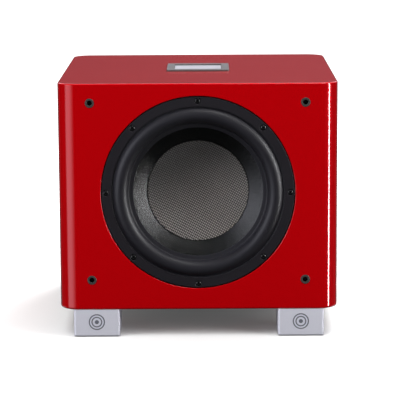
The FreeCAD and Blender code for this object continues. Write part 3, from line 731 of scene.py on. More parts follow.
class SUBWOOFER_OT_cabinet(bpy.types.Operator):
    """Build the seamless lacquered cabinet with its seats and holes"""

    bl_idname = "subwoofer.cabinet"
    bl_label = "Cabinet"

    def execute(self, context):
        sizes = context.scene.subwoofer_cabinet
        red = finish("lacquer")
        low, high = node_box("top_panel")
        half_x, half_y, board = high.x, (high.y - low.y) / 2, high.z - low.z
        end = node_box("front_baffle")[1].y - Y_FRONT
        skin = slab("cabinet_skin", standing(0.0, Y_MID), half_x, half_y, sizes.corner,
                    edge_layers(Z_BOTTOM, Z_TOP, sizes.bottom_edge, sizes.top_edge), red, steps=28)
        skin.data.materials.append(finish("board"))
        cutters = [block("inside", (-half_x + board, Y_FRONT + end, Z_BOTTOM + board),
                         (half_x - board, Y_REAR - end, Z_TOP - board), finish("board"))]
        gasket = node_box("driver_gasket")[1].y - Y_FRONT
        cutters.append(seat_cutter(front_axis, sizes.rebate, gasket, sizes.cutout, end,
                                   sizes.rebate_lip, red))
        flange = node_box("radiator_frame")[0].z + 0.0045 - Z_BOTTOM
        cutters.append(seat_cutter(under_axis, sizes.rebate, flange, sizes.cutout, board, 0.0, red))
        peg_hole = mm([(0, -4), (6.4, -4), (6.4, 0.6), (5.1, 0.6), (5.1, 14), (0, 14)])
        for x, _, z in peg_spots():
            cutters.append(turned("peg_hole", peg_hole, level_axis(x, z, Y_FRONT), red, 32))
        plate_low, plate_high = node_box("amp_plate")
        seal = node_box("amp_gasket")[0].y
        gap, ledge, past = 0.0005, 0.015, 0.004
        cutters.append(block("plate_seat", (plate_low.x - gap, seal, plate_low.z - gap),
                             (plate_high.x + gap, Y_REAR + past, plate_high.z + gap), red))
        cutters.append(block("plate_window", (plate_low.x + ledge, Y_REAR - end - past, plate_low.z + ledge),
                             (plate_high.x - ledge, Y_REAR + past, plate_high.z - ledge), red))
        smoothed(carved(skin, cutters), 30.0)
        settle(skin, ROOT, "lacquer", *BOARDS)
        return {"FINISHED"}


class SUBWOOFER_OT_badge(bpy.types.Operator):
    """Build the badge on the top: its frame and its brushed insert"""

    bl_idname = "subwoofer.badge"
    bl_label = "Badge"

    def execute(self, context):
        low, high = node_box("badge_frame")
        in_low, in_high = node_box("badge_insert")
        edge, gap, rim_corner, insert_corner = 0.0006, 0.0001, 0.003, 0.001
        there = standing(0.0, Y_MID)
        rim = slab("badge_rim", there, high.x, (high.y - low.y) / 2, rim_corner,
                   edge_layers(low.z, high.z, 0.0, edge), finish("badge"), steps=6)
        hole = slab("badge_hole", there, in_high.x + gap, (in_high.y - in_low.y) / 2 + gap, insert_corner,
                    [(low.z - 0.002, 0.0), (high.z - edge, 0.0), (high.z + edge, -2 * edge)],
                    finish("badge"), steps=4)
        smoothed(carved(rim, [hole]))
        settle(rim, ROOT, "badge_grey", "badge_frame")
        plate = slab("badge_plate", there, in_high.x, (in_high.y - in_low.y) / 2, insert_corner,
                     edge_layers(in_low.z, in_high.z, 0.0, 0.0003, 3), finish("brushed"), steps=4)
        settle(smoothed(plate), ROOT, "badge_silver", "badge_insert")
        return {"FINISHED"}


def inlay_rings():
    """Outer and inner radii of the rings let into a front foot, from the size of the largest."""
    low, high = node_box("foot_emblems")
    largest = (high.z - low.z) / 2
    shares = ((1.0, 0.8545), (0.6727, 0.5273), (0.2545, 0.0))
    return [(largest * outer, largest * inner) for outer, inner in shares]


def ring_profile(outer, inner, front, back, edge=0.0):
    """A flat ring's outline, with its front edges rounded; with no inner radius it's a disc."""
    if inner > 0:
        return softened([(inner, front, edge), (outer, front, edge), (outer, back, 0), (inner, back, 0)], 3)
    disc = softened([(outer, front, edge), (outer, back, 0), (0, back, 0), (0, front, 0)], 3)
    return [(0, front)] + disc[:-1]


class SUBWOOFER_OT_feet(bpy.types.Operator):
    """Build the four block feet and the rings let into the front pair"""

    bl_idname = "subwoofer.feet"
    bl_label = "Feet"

    def execute(self, context):
        metal = finish("foot metal")
        inlay_z = middle_of("foot_emblems").z
        pad_r, corner, lower_edge = 0.0203, 0.003, 0.0016
        pad_top = node_box("foot_pads")[1].z
        for where in ("front_left", "front_right", "rear_left", "rear_right"):
            low, high = node_box("foot_" + where)
            x, y, half = (low.x + high.x) / 2, (low.y + high.y) / 2, (high.x - low.x) / 2
            foot = slab("foot_block_" + where, standing(x, y), half, half, corner,
                        edge_layers(low.z, high.z, lower_edge), metal, steps=10)
            cutters = [turned("pad_seat", [(0, -0.01), (pad_r, -0.01), (pad_r, pad_top), (0, pad_top)],
                              upright_axis(x, y), metal, 48)]
            if where.startswith("front"):
                there = level_axis(x, inlay_z, low.y)
                gap, depth = 0.00005, 0.0008
                rings = []
                for outer, inner in inlay_rings():
                    groove = ring_profile(outer + gap, max(inner - gap, 0), -0.003, depth)
                    cutters.append(turned("groove", groove, there, metal, 72))
                    inlaid = ring_profile(outer, inner, 0.0001, depth, 0.0001)
                    rings.append(turned("foot_inlay_" + where, inlaid, there, finish("inlay"), 72))
                settle(smoothed(joined(rings)), ROOT, "emblem_slate", "foot_emblems")
            smoothed(carved(foot, cutters))
            settle(foot, ROOT, "foot_silver", "foot_" + where)
        dress("pad", "foot_pads")
        dress("zinc", "foot_screws")
        return {"FINISHED"}


class SUBWOOFER_OT_sockets(bpy.types.Operator):
    """Build the four sockets that hold a grille's pegs"""

    bl_idname = "subwoofer.sockets"
    bl_label = "Grille sockets"

    def execute(self, context):
        outline = softened(mm([(3.5, 0.0, 0.5), (6.25, 0.0, 0.45), (6.25, 1.0, 0), (5.0, 1.0, 0),
                               (5.0, 13.4, 0), (3.5, 13.4, 0)]), 4)
        sleeve = turned("socket_shape", outline, level_axis(), finish("socket rubber"), 40)
        floor = turned("socket_floor", mm([(0, 11.4), (3.5, 11.4), (3.5, 13.4), (0, 13.4)]), level_axis(),
                       finish("socket rubber"), 40)
        shape = smoothed(joined([sleeve, floor]))
        settle(at_spots("peg_sockets", shape, peg_spots(), finish("socket rubber")), ROOT, "black_rubber",
               "grille_sockets")
        return {"FINISHED"}


# ---------------------------------------------------------------------------
# Driver and radiator
# ---------------------------------------------------------------------------
def screw_circle():
    """Places of the flange screws about an axis, the first at the top."""
    sizes = bpy.context.scene.subwoofer_driver
    steps = [math.pi / 2 + 2 * math.pi * k / sizes.screws for k in range(sizes.screws)]
    return [(sizes.screw_circle * math.cos(a), sizes.screw_circle * math.sin(a)) for a in steps]


def pan_screw(head_r, head_h, shank_r, shank, key_r, material):
    """A domed screw with a six-sided key hole, its head's seat at the origin and its shank along +Y."""
    crown, shoulder = (head_r * 0.45, -head_h), (head_r, -head_h * 0.45)
    profile = [(0, -head_h), crown] + arc(crown, (head_r * 0.83, -head_h * 0.86), shoulder, 6)
    profile += [(head_r, 0.0), (shank_r, 0.0), (shank_r, shank), (0, shank)]
    screw = turned("screw_shape", profile, level_axis(), material, 32)
    bm = bmesh.new()
    bmesh.ops.create_cone(bm, cap_ends=True, segments=6, radius1=key_r, radius2=key_r, depth=head_h * 1.2,
                          matrix=Matrix.Translation((0, -head_h, 0)) @ Matrix.Rotation(math.pi / 2, 4, "X"))
    return smoothed(carved(screw, [new_object("key", bm, material)]))


class SUBWOOFER_OT_trim(bpy.types.Operator):
    """Build the driver's trim ring and its screws"""

    bl_idname = "subwoofer.trim"
    bl_label = "Trim ring"

    def execute(self, context):
        low, high = node_box("trim_ring")
        outer, front, back = high.x, low.y - Y_FRONT, high.y - Y_FRONT
        inner, edge, hole_r = 0.1166, 0.0006, 0.0043
        profile = softened([(inner, front, edge), (outer, front, edge), (outer, back, 0),
                            (inner, back, 0)], 5)
        ring = turned("trim_ring_front", profile, front_axis, finish("trim"), 224)
        past, bevel = 0.002, 0.0004
        sink = [(0, -past), (hole_r + bevel, -past), (hole_r + bevel, front), (hole_r, front + bevel),
                (hole_r, back + past), (0, back + past)]
        holes = [turned("hole", sink, level_axis(x, DRIVER_Z + z, Y_FRONT), finish("trim"), 32)
                 for x, z in screw_circle()]
        settle(smoothed(carved(ring, holes), 40.0), ROOT, "black_trim", "trim_ring")
        screw = pan_screw(head_r=0.0036, head_h=0.0019, shank_r=0.0019, shank=0.021, key_r=0.0015,
                          material=finish("driver screw"))
        spots = [(x, high.y, DRIVER_Z + z) for x, z in screw_circle()]
        settle(at_spots("trim_screws", screw, spots, finish("driver screw"), spin=1.0), ROOT, "black_screw",
               "driver_screws")
        return {"FINISHED"}


def eased(points, rounds=2):
    """A closed outline with its corners cut off again and again, which rounds them."""
    for _ in range(rounds):
        points = [(share * ax + (1 - share) * bx, share * ay + (1 - share) * by)
                  for (ax, ay), (bx, by) in zip(points, points[1:] + points[:1]) for share in (0.75, 0.25)]
    return points


def roll_profile(lip, inner_lip, crest, thick=1.0):
    """A half-roll surround's section in mm: the outer lip's face, the inner lip's face and the crest."""
    front = [(121.2, lip), (116.2, lip), (115.4, lip + 0.55), (114.2, lip)]
    front += arc(front[-1], (104.4, crest), (93.7, inner_lip - 0.9), 30)
    front += [(92.4, inner_lip - 0.35), (90.0, inner_lip), (87.5, inner_lip + 0.45)]
    back = [(87.5, inner_lip + thick), (94.2, inner_lip + thick)]
    back += arc(back[-1], (104.3, crest + 1.2), (113.6, lip + thick), 30) + [(121.2, lip + thick)]
    return mm(eased(front + back))


def bend_between(obj, radius_of, inner, outer):
    """Bakes a ring's placement into its mesh and works out each point's share of the way between the inner
    and outer radii, which nothing uses.
    """
    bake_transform(obj)
    [(outer - radius_of(v.co)) / (outer - inner) for v in obj.data.vertices]


def front_radius(co):
    return math.hypot(co.x, co.z - DRIVER_Z)


def under_radius(co):
    return math.hypot(co.x, co.y - RADIATOR_Y)


class SUBWOOFER_OT_surround(bpy.types.Operator):
    """Build the rubber roll between the frame and the cone, in its rest shape; the real roll bends as the
    cone moves, this one does not
    """

    bl_idname = "subwoofer.surround"
    bl_label = "Surround"

    def execute(self, context):
        roll = turned("surround_roll", roll_profile(2.5, 8.5, -2.95), front_axis, finish("rubber"), 224)
        smoothed(roll, 50.0)
        bend_between(roll, front_radius, ROLL_INNER, ROLL_OUTER)
        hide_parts("surround")
        return {"FINISHED"}


class SUBWOOFER_OT_cone(bpy.types.Operator):
    """Build the coated paper cone"""

    bl_idname = "subwoofer.cone"
    bl_label = "Cone"

    def execute(self, context):
        front = [(93.0, 9.5), (90.0, 9.5), (88.5, 9.5)] + arc((88.5, 9.5), (58, 26.6), (26.6, 51), 48)
        neck = [(25.6, 51), (25.6, 53.5), (26.6, 53.5)]
        back = arc(neck[-1], (58, 28.2), (88.0, 10.8), 24) + [(93.0, 10.8)]
        cone = turned("paper_cone", mm(front + neck + back), front_axis, finish("cone"), 224)
        settle(smoothed(cone, 40.0), CONE, "cone_paper", "cone")
        return {"FINISHED"}


def dish_depth(radius, sizes):
    """How far the concave cap's face lies behind the cabinet's front at a radius."""
    ball = (sizes.cap_radius ** 2 + sizes.cap_dish ** 2) / (2 * sizes.cap_dish)
    return sizes.cap_rim + sizes.cap_dish - ball + math.sqrt(ball ** 2 - radius ** 2)


class SUBWOOFER_OT_cap(bpy.types.Operator):
    """Build the concave cap: woven threads on a dark backing"""

    bl_idname = "subwoofer.cap"
    bl_label = "Dust cap"

    def execute(self, context):
        sizes = context.scene.subwoofer_driver
        rim, rings, set_back, thick = sizes.cap_radius, 24, 0.0005, 0.0003
        radii = [rim * k / rings for k in range(rings + 1)]
        face = [(r, dish_depth(r, sizes) + set_back) for r in radii]
        back = [(r, depth + thick) for r, depth in reversed(face)]
        backing = turned("cap_backing", face + back, front_axis, finish("cap backing"), 128)
        settle(smoothed(backing), CONE, "woven_cap", "dust_cap")
        crossings = ((sizes.weave_turn, sizes.falling_pitch, sizes.rising_pitch, 0.0),
                     (sizes.weave_turn + math.pi / 2, sizes.rising_pitch, sizes.falling_pitch, 1.0))
        centre = Vector((0.0, Y_FRONT + 0.0001, DRIVER_Z))
        for name, (turn, pitch, cross, phase) in zip(("falling", "rising"), crossings):
            threads = new_object("cap_threads_" + name, bmesh.new(), finish("thread"))
            with_tree(threads, weave_tree(), {
                "Reach": rim - 0.0007, "Dish": sizes.cap_dish, "Rim": sizes.cap_rim, "Pitch": pitch,
                "Cross": cross, "Phase": phase, "Width": sizes.thread, "Crimp": sizes.crimp, "Turn": turn,
                "Centre": centre, "Finish": finish("thread")})
            shade_smooth(threads)
            settle(threads, CONE, "woven_cap", "dust_cap")
        return {"FINISHED"}


def spider_profile(inner=25.6, first=30.5, last=68.0, outer=76.0, depth=58.1, swing=2.0, thick=0.35):
    """The centring cloth's section in mm: flat at both edges, with nine rolls between."""
    rolls, steps = 9, 7
    middle = [(outer, depth)]
    for k in range(rolls * steps + 1):
        roll = k / steps
        side = -1 if int(roll) % 2 == 0 else 1
        middle.append((last - (last - first) * k / (rolls * steps),
                       depth + side * swing * math.sin(math.pi * (roll % 1.0))))
    middle.append((inner, depth))
    return mm([(r, t - thick) for r, t in middle] + [(r, t + thick) for r, t in reversed(middle)])


def lead_path(x):
    """The run of a flexible lead from the cone's back to the terminals, with one wide bend."""
    drop, reach, depth_in, depth_out, bend, straight = 0.048, 0.0874, 0.037, 0.053, 0.012, 0.004
    points = [Vector((x, Y_FRONT + depth_in + straight * k / 4, DRIVER_Z - drop)) for k in range(4)]
    centre = Vector((x, Y_FRONT + depth_out - bend, DRIVER_Z - drop - bend))
    bend_steps, run_steps = 16, 24
    for k in range(bend_steps + 1):
        a = math.pi / 2 * k / bend_steps
        points.append(centre + Vector((0, bend * math.sin(a), bend * math.cos(a))))
    run = reach - drop - bend
    return points + [Vector((x, Y_FRONT + depth_out, DRIVER_Z - drop - bend - run * k / run_steps))
                     for k in range(1, run_steps + 1)]


def twisted(name, path, radius, material, strands=3, sides=18, lay=260.0):
    """A cord of twisted strands along a path in a plane of even x; gives each point's share of the way."""
    bm = bmesh.new()
    side = Vector((1, 0, 0))
    done, rings, shares = 0.0, [], []
    for k, point in enumerate(path):
        done += (point - path[max(k - 1, 0)]).length
        ahead = (path[min(k + 1, len(path) - 1)] - path[max(k - 1, 0)]).normalized()
        ring = []
        for n in range(sides):
            a = 2 * math.pi * n / sides
            r = radius * (0.86 + 0.14 * math.cos(strands * (a - lay * done)))
            ring.append(bm.verts.new(point + r * (math.cos(a) * side + math.sin(a) * ahead.cross(side))))
            shares.append(done)
        rings.append(ring)
    for one, two in zip(rings, rings[1:]):
        for k in range(sides):
            n = (k + 1) % sides
            bm.faces.new((one[k], one[n], two[n], two[k]))
    bm.faces.new(rings[0])
    bm.faces.new(rings[-1])
    return new_object(name, bm, material), [share / done for share in shares]


class SUBWOOFER_OT_motor(bpy.types.Operator):
    """Finish the driver's frame and motor, and build the flexible parts inside, the centring cloth and the
    leads, in their rest shape
    """

    bl_idname = "subwoofer.motor"
    bl_label = "Frame and motor"

    def execute(self, context):
        spider = turned("centring_cloth", spider_profile(), front_axis, finish("cloth"), 128)
        smoothed(spider, 60.0)
        bend_between(spider, front_radius, CLOTH_INNER, CLOTH_OUTER)
        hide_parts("spider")
        for side, x in (("left", -0.006), ("right", 0.006)):
            path = lead_path(x)
            lead, shares = twisted("lead_" + side, path, 0.0008, finish("tinsel"))
            shade_smooth(lead)
            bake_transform(lead)
            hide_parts("tinsel_leads")
        dress("cast", "basket")
        dress("foam", "driver_gasket")
        dress("aluminium", "coil_former")
        dress("copper", "coil_winding")
        dress("steel", "top_plate", "yoke")
        dress("ferrite", "magnet")
        dress("moulded", "terminal_strip")
        return {"FINISHED"}


class SUBWOOFER_OT_radiator(bpy.types.Operator):
    """Build the radiator that faces the floor"""

    bl_idname = "subwoofer.radiator"
    bl_label = "Radiator"

    def execute(self, context):
        roll = turned("radiator_roll", roll_profile(0.5, 0.5, -7.9), under_axis, finish("rubber"), 192)
        smoothed(roll, 50.0)
        bend_between(roll, under_radius, ROLL_INNER, ROLL_OUTER)
        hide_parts("radiator_surround")
        disc = mm([(0, 2.7), (34, 2.7), (36, 1.9), (84, 1.9), (85.5, 1.5), (93, 1.5), (93, 7.5), (0, 7.5)])
        face = turned("radiator_face", disc, under_axis, finish("panel"), 160)
        settle(smoothed(face), RADIATOR, "flat_cone", "radiator_cone")
        dress("steel", "radiator_weight")
        dress("cast", "radiator_frame")
        dress("driver screw", "radiator_screws")
        return {"FINISHED"}


# ---------------------------------------------------------------------------
# Rear plate
# ---------------------------------------------------------------------------
def rib(width, proud, length_y, radius, material):
    """A small rounded rib along Y, standing on a radius above the Y axis."""
    outline = softened([(-width / 2, -proud, 0), (width / 2, -proud, 0), (width / 2, proud, width * 0.3),
                        (-width / 2, proud, width * 0.3)], 2)
    bm = bmesh.new()
    ends = [[bm.verts.new((x, y, radius + z)) for x, z in outline] for y in (0.0, length_y)]
    for k in range(len(outline)):
        n = (k + 1) % len(outline)
        bm.faces.new((ends[0][k], ends[0][n], ends[1][n], ends[1][k]))
    bm.faces.new(ends[0])
    bm.faces.new(ends[1])
    return new_object("rib", bm, material)


class SUBWOOFER_OT_knobs(bpy.types.Operator):
    """Build the three ridged knobs, their pointers and the marks round them"""

    bl_idname = "subwoofer.knobs"
    bl_label = "Knobs"

    def execute(self, context):
        sizes = context.scene.subwoofer_rear
        black, white = finish("moulded"), finish("print")
        marks = []
        for name in CONTROLS:
            low, high = node_box(name + "_knob")
            x, z, radius = (low.x + high.x) / 2, (low.z + high.z) / 2, (high.x - low.x) / 2
            foot, top = low.y, high.y
            proud = 0.0004
            core = radius - proud
            profile = [(0, foot), (core, foot), (core, top - 0.0016)]
            profile += arc(profile[-1], (core - 0.0003, top - 0.0005), (core - 0.0013, top), 5)
            profile += [(core - 0.0022, top), (core - 0.0026, top - 0.0004), (0, top - 0.0004)]
            body = turned("knob_body", profile, level_axis(x, z), black, 72)
            ridge = rib(0.00095, proud, top - foot - 0.0026, core, black)
            ridges = round_axis("ridges", ridge, sizes.ridges, 0.0, 2 * math.pi / sizes.ridges,
                                (x, foot + 0.0004, z), black)
            knob = smoothed(joined([body, ridges]))
            knob.name = name + "_knob_body"
            settle(knob, name + "_control", "control_black", name + "_knob")
            pointer = block(name + "_pointer", (x - 0.0005, top - 0.0006, z + 0.0025),
                            (x + 0.0005, top - 0.0001, z + core - 0.0002), white)
            smoothed(bevelled(pointer, 0.00015, 2))
            settle(pointer, name + "_control", "control_black", name + "_knob")
            tick = block("tick", (-0.0003, 0.0, radius + 0.0020), (0.0003, 0.00015, radius + 0.0042), white)
            sweep = math.radians(300)
            marks.append(round_axis(name + "_marks", tick, sizes.ticks, -sweep / 2, sweep / (sizes.ticks - 1),
                                    (x, Y_REAR - 0.00003, z), white))
        scale = joined(marks)
        scale.name = "dial_marks"
        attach(scale, ROOT)
        dress("aluminium", "level_shaft", "lfe_shaft", "crossover_shaft")
        return {"FINISHED"}


class SUBWOOFER_OT_inputs(bpy.types.Operator):
    """Build the plated line sockets and finish the other sockets and switches"""

    bl_idname = "subwoofer.inputs"
    bl_label = "Sockets and switches"

    def execute(self, context):
        z = middle_of("rca_sockets").z
        low, high = node_box("rca_sockets")
        reach = high.y - Y_REAR
        body, flange, bore, outer = 0.006, 0.0012, 0.0034, 0.00415
        pin_bore, pin_r = 0.0016, 0.0021
        spots = [(x, Y_REAR, z) for x in (low.x + body, middle_of("rca_sockets").x, high.x - body)]
        shell = softened([(bore, reach, 0.0002), (outer, reach, 0.0004), (outer, flange, 0.0003),
                          (body, flange, 0.0003), (body, 0.0, 0), (bore, 0.0, 0)], 3)
        gold = finish("gold")
        barrel = smoothed(turned("barrel", shell, level_axis(), gold, 48))
        settle(at_spots("line_socket_shells", barrel, spots, gold), ROOT, "jack_metal", "rca_sockets")
        contact = softened([(pin_bore, reach - 0.0004, 0.0002), (pin_r, reach - 0.0004, 0.0002),
                            (pin_r, 0.0, 0), (pin_bore, 0.0, 0)], 3)
        tube = smoothed(turned("contact", contact, level_axis(), gold, 32))
        settle(at_spots("line_socket_contacts", tube, spots, gold), ROOT, "jack_metal", "rca_sockets")
        filling = softened([(pin_r, reach - 0.0003, 0), (bore, reach - 0.0003, 0), (bore, 0.0, 0),
                            (pin_r, 0.0, 0)], 1)
        rings = (("left", "white marker"), ("right", "red marker"), ("lfe", "moulded"))
        for spot, (name, tint) in zip(spots, rings):
            ring = turned("line_socket_ring_" + name, filling, level_axis(spot[0], z, Y_REAR),
                          finish(tint), 48)
            settle(smoothed(ring), ROOT, "jack_metal", "rca_sockets")
        low, high = node_box("power_rocker")
        seat = (low + high) / 2
        half, face = (high.z - low.z) / 2, high.y
        tilt = Matrix.Translation((seat.x, ROCKER_PIVOT_Y, seat.z)) @ Matrix.Rotation(ROCKER_TILT, 4, "X")
        reach = (face - ROCKER_PIVOT_Y - half * math.sin(ROCKER_TILT)) / math.cos(ROCKER_TILT)
        sunk, proud, hoop_in, hoop_out = reach - 0.0006, reach + 0.00005, 0.0013, 0.0019
        bar = bevelled(block("bar", (-0.0003, sunk, -0.0018), (0.0003, proud, 0.0018), finish("print")),
                       0.0001, 2)
        placed(bar, Matrix.Translation((0, 0, half * 0.5)))
        hoop = turned("hoop", [(hoop_in, sunk), (hoop_out, sunk), (hoop_out, proud), (hoop_in, proud)],
                      level_axis(), finish("print"), 40)
        placed(hoop, Matrix.Translation((0, 0, -half * 0.5)))
        marks = placed(joined([bar, hoop]), tilt)
        marks.name = "rocker_marks"
        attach(smoothed(marks), "power_key")
        dress("moulded", "pot_bodies", "power_switch_body", "power_rocker", "mains_inlet",
              "high_level_socket")
        dress("nickel", "phase_switch_body", "phase_toggle", "inlet_pins")
        return {"FINISHED"}


class SUBWOOFER_OT_rear(bpy.types.Operator):
    """Finish the amplifier plate and the parts behind it"""

    bl_idname = "subwoofer.rear"
    bl_label = "Rear plate"

    def execute(self, context):
        dress("plate", "amp_plate")
        dress("foam", "amp_gasket")
        dress("black screw", "amp_screws", "transformer_bolt")
        dress("solder mask", "main_board")
        dress("sleeve", "capacitors")
        dress("tape", "transformer")
        dress("aluminium", "heatsink")
        dress("cord", "driver_lead")
        return {"FINISHED"}


# ---------------------------------------------------------------------------
# Stage
# ---------------------------------------------------------------------------
def lamp(name, place, aim, size, power, diffuse=True, glossy=True):
    light = bpy.data.lights.new(name, "AREA")
    light.shape = "RECTANGLE"
    light.size, light.size_y = size
    light.energy = power
    obj = bpy.data.objects.new(name, light)
    bpy.context.scene.collection.objects.link(obj)
    obj.location = place
    obj.rotation_euler = (Vector(aim) - Vector(place)).to_track_quat("-Z", "Y").to_euler()
    obj.visible_camera = False
    obj.visible_diffuse = diffuse
    obj.visible_glossy = glossy


def studio_air():
    """White to the camera; reflections see a panel at each side, low wings and a dim, glowing back."""
    world = bpy.data.worlds.new("Studio air")
    world.use_nodes = True
    tree = world.node_tree
    tree.nodes.clear()
    way = node(tree, "ShaderNodeTexCoord").outputs["Generated"]
    part = node(tree, "ShaderNodeSeparateXYZ", {0: way}).outputs
    left = maths(tree, "MULTIPLY", part["X"], -1.0)
    ahead = maths(tree, "MULTIPLY", part["Y"], -1.0)
    bearing = maths(tree, "ARCTAN2", left, ahead)
    swing = maths(tree, "ARCTAN2", maths(tree, "ABSOLUTE", part["X"]), part["Y"])

    def times(first, *rest):
        for value in rest:
            first = maths(tree, "MULTIPLY", first, value)
        return first

    def between(value, start, full, still, end):
        return times(smooth_step(tree, value, start, full), smooth_step(tree, value, end, still))

    def turns(value, *degrees):
        return between(value, *(math.radians(angle) for angle in degrees))

    upper = maths(tree, "MULTIPLY_ADD", smooth_step(tree, part["Z"], 0.0, 0.2), 2.4, 1.9)
    left_panel = times(turns(bearing, 16, 48, 64, 76), upper,
                       between(part["Z"], -0.42, -0.24, 0.30, 0.44))
    right_panel = times(turns(bearing, -88, -74, -58, -38), between(part["Z"], -0.02, 0.12, 0.30, 0.44))
    wings = times(turns(swing, 22, 55, 74, 88), between(part["Z"], -0.75, -0.5, -0.32, -0.24))
    above = times(between(part["Y"], 0.1, 0.5, 2.0, 3.0), smooth_step(tree, part["Z"], 0.0, 0.06))
    lean = maths(tree, "MULTIPLY_ADD", smooth_step(tree, part["X"], -0.25, 0.25), 0.03, 0.047)
    below = times(smooth_step(tree, part["Y"], 0.5, 0.85), smooth_step(tree, part["Z"], 0.0, -0.06))
    back = maths(tree, "MULTIPLY_ADD", below, 0.10, times(above, lean))
    high_back = times(turns(swing, -2, -1, 30, 48), between(part["Z"], 0.24, 0.36, 0.60, 0.78))
    back = maths(tree, "MULTIPLY_ADD", high_back, 1.5, back)
    glow = maths(tree, "MULTIPLY_ADD", wings, 0.8, back)
    glow = maths(tree, "MULTIPLY_ADD", right_panel, 1.7, maths(tree, "ADD", left_panel, glow))
    seen = node(tree, "ShaderNodeBackground", {"Color": (1, 1, 1, 1), "Strength": 1.05}).outputs[0]
    mirrored = node(tree, "ShaderNodeBackground",
                    {"Color": (0.95, 0.97, 1.08, 1), "Strength": glow}).outputs[0]
    sky = smooth_step(tree, part["Z"], -0.1, 0.3)
    felt = node(tree, "ShaderNodeBackground", {"Color": (1, 1, 1, 1),
                                               "Strength": maths(tree, "MULTIPLY", sky, 0.42)}).outputs[0]
    path = node(tree, "ShaderNodeLightPath").outputs
    inner = node(tree, "ShaderNodeMixShader", {0: path["Is Glossy Ray"], 1: felt, 2: mirrored}).outputs[0]
    outer = node(tree, "ShaderNodeMixShader", {0: path["Is Camera Ray"], 1: inner, 2: seen}).outputs[0]
    node(tree, "ShaderNodeOutputWorld", {"Surface": outer})
    return world


def studio_floor():
    """A white floor that fades into the air behind it, and throws little light back."""
    material = bpy.data.materials.new("Studio floor")
    material.use_nodes = True
    tree = material.node_tree
    tree.nodes.clear()
    where = node(tree, "ShaderNodeTexCoord").outputs["Object"]
    far = smooth_step(tree, vector_maths(tree, "LENGTH", where), 0.45, 1.3)
    lit = node(tree, "ShaderNodeBsdfDiffuse", {"Color": (0.62, 0.62, 0.62, 1)}).outputs[0]
    glow = node(tree, "ShaderNodeEmission", {"Strength": maths(tree, "ADD", far, 0.08)}).outputs[0]
    seen = node(tree, "ShaderNodeAddShader", {0: lit, 1: glow}).outputs[0]
    felt = node(tree, "ShaderNodeBsdfDiffuse", {"Color": (0.15, 0.15, 0.15, 1)}).outputs[0]
    path = node(tree, "ShaderNodeLightPath").outputs
    mix = node(tree, "ShaderNodeMixShader", {0: path["Is Camera Ray"], 1: felt, 2: seen}).outputs[0]
    node(tree, "ShaderNodeOutputMaterial", {"Surface": mix})
    bm = bmesh.new()
    bmesh.ops.create_grid(bm, x_segments=1, y_segments=1, size=30.0)
    floor = new_object("studio_floor", bm, material)
    floor.location.z = -0.0002
    floor.visible_glossy = False


def studio_camera():
    """A long lens, a little above the cabinet, that looks down at its front."""
    data = bpy.data.cameras.new("Camera")
    data.sensor_fit = "HORIZONTAL"
    data.sensor_width = 36.0
    data.lens = 182.86
    data.clip_end = 100.0
    camera = bpy.data.objects.new("Camera", data)
    bpy.context.scene.collection.objects.link(camera)
    place = (0.0139, -2.8923, 0.6490)
    pitch, yaw, roll = 0.1695211, -0.0042133, 0.0059510
    right = Vector((math.cos(yaw), -math.sin(yaw), 0))
    ahead = Vector((math.sin(yaw) * math.cos(pitch), math.cos(yaw) * math.cos(pitch), -math.sin(pitch)))
    up = right.cross(ahead)
    across = right * math.cos(roll) - up * math.sin(roll)
    rise = right * math.sin(roll) + up * math.cos(roll)
    facing = Matrix((across, rise, -ahead)).transposed().to_4x4()
    camera.matrix_world = Matrix.Translation(place) @ facing
    bpy.context.scene.camera = camera


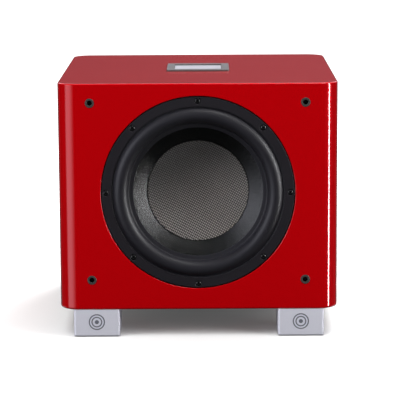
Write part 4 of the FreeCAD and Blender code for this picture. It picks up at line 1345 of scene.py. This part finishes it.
class SUBWOOFER_OT_stage(bpy.types.Operator):
    """Set the floor, the soft lights and the camera"""

    bl_idname = "subwoofer.stage"
    bl_label = "Stage"

    def execute(self, context):
        scene = context.scene
        scene.view_settings.view_transform = "Standard"
        scene.world = studio_air()
        studio_floor()
        studio_camera()
        middle = (0.0, 0.0, 0.18)
        lamp("Overhead", (0.0, -0.3, 2.4), middle, (2.2, 2.2), 48.0, glossy=False)
        lamp("High key", (-0.95, -1.35, 2.3), middle, (1.6, 1.6), 46.0, glossy=False)
        lamp("Left fill", (-2.0, -1.1, 0.9), middle, (1.0, 1.0), 16.0, glossy=False)
        lamp("Right fill", (2.0, -1.1, 0.9), middle, (1.0, 1.0), 34.0, glossy=False)
        lamp("Back key", (0.5, 0.95, 1.6), (0.1, 0.1, 0.3), (0.9, 0.9), 52.0, glossy=False)
        lamp("Right strip", (1.73, -0.88, 0.45), (0.175, -0.185, 0.45), (0.20, 1.7), 38.0, diffuse=False)
        lamp("Top edge", (0.62, -0.9, 2.3), (0.1, -0.2, 0.34), (1.2, 0.8), 14.0, diffuse=False)
        return {"FINISHED"}


# ---------------------------------------------------------------------------
# Panel and registration
# ---------------------------------------------------------------------------
STEPS = (SUBWOOFER_OT_cabinet, SUBWOOFER_OT_badge, SUBWOOFER_OT_feet, SUBWOOFER_OT_sockets,
         SUBWOOFER_OT_trim, SUBWOOFER_OT_surround, SUBWOOFER_OT_cone, SUBWOOFER_OT_cap,
         SUBWOOFER_OT_motor, SUBWOOFER_OT_radiator, SUBWOOFER_OT_knobs, SUBWOOFER_OT_inputs,
         SUBWOOFER_OT_rear, SUBWOOFER_OT_stage)
GROUPS = (("subwoofer_cabinet", SubwooferCabinet), ("subwoofer_driver", SubwooferDriver),
          ("subwoofer_rear", SubwooferRear))


class SUBWOOFER_PT_panel(bpy.types.Panel):
    """Lists the build steps and the sizes"""

    bl_idname = "SUBWOOFER_PT_panel"
    bl_label = "Active subwoofer"
    bl_space_type = "VIEW_3D"
    bl_region_type = "UI"
    bl_category = "Subwoofer"

    def draw(self, context):
        for step in STEPS:
            self.layout.operator(step.bl_idname)
        for name, group in GROUPS:
            column = self.layout.column()
            for prop in group.__annotations__:
                column.prop(getattr(context.scene, name), prop)


def register():
    for name, group in GROUPS:
        bpy.utils.register_class(group)
        setattr(bpy.types.Scene, name, PointerProperty(type=group))
    for step in STEPS + (SUBWOOFER_PT_panel,):
        bpy.utils.register_class(step)


def unregister():
    for step in reversed(STEPS + (SUBWOOFER_PT_panel,)):
        bpy.utils.unregister_class(step)
    for name, group in reversed(GROUPS):
        delattr(bpy.types.Scene, name)
        bpy.utils.unregister_class(group)


def main():
    register()
    for step in STEPS:
        area, name = step.bl_idname.split(".")
        getattr(getattr(bpy.ops, area), name)()


if __name__ == "__main__":
    main()
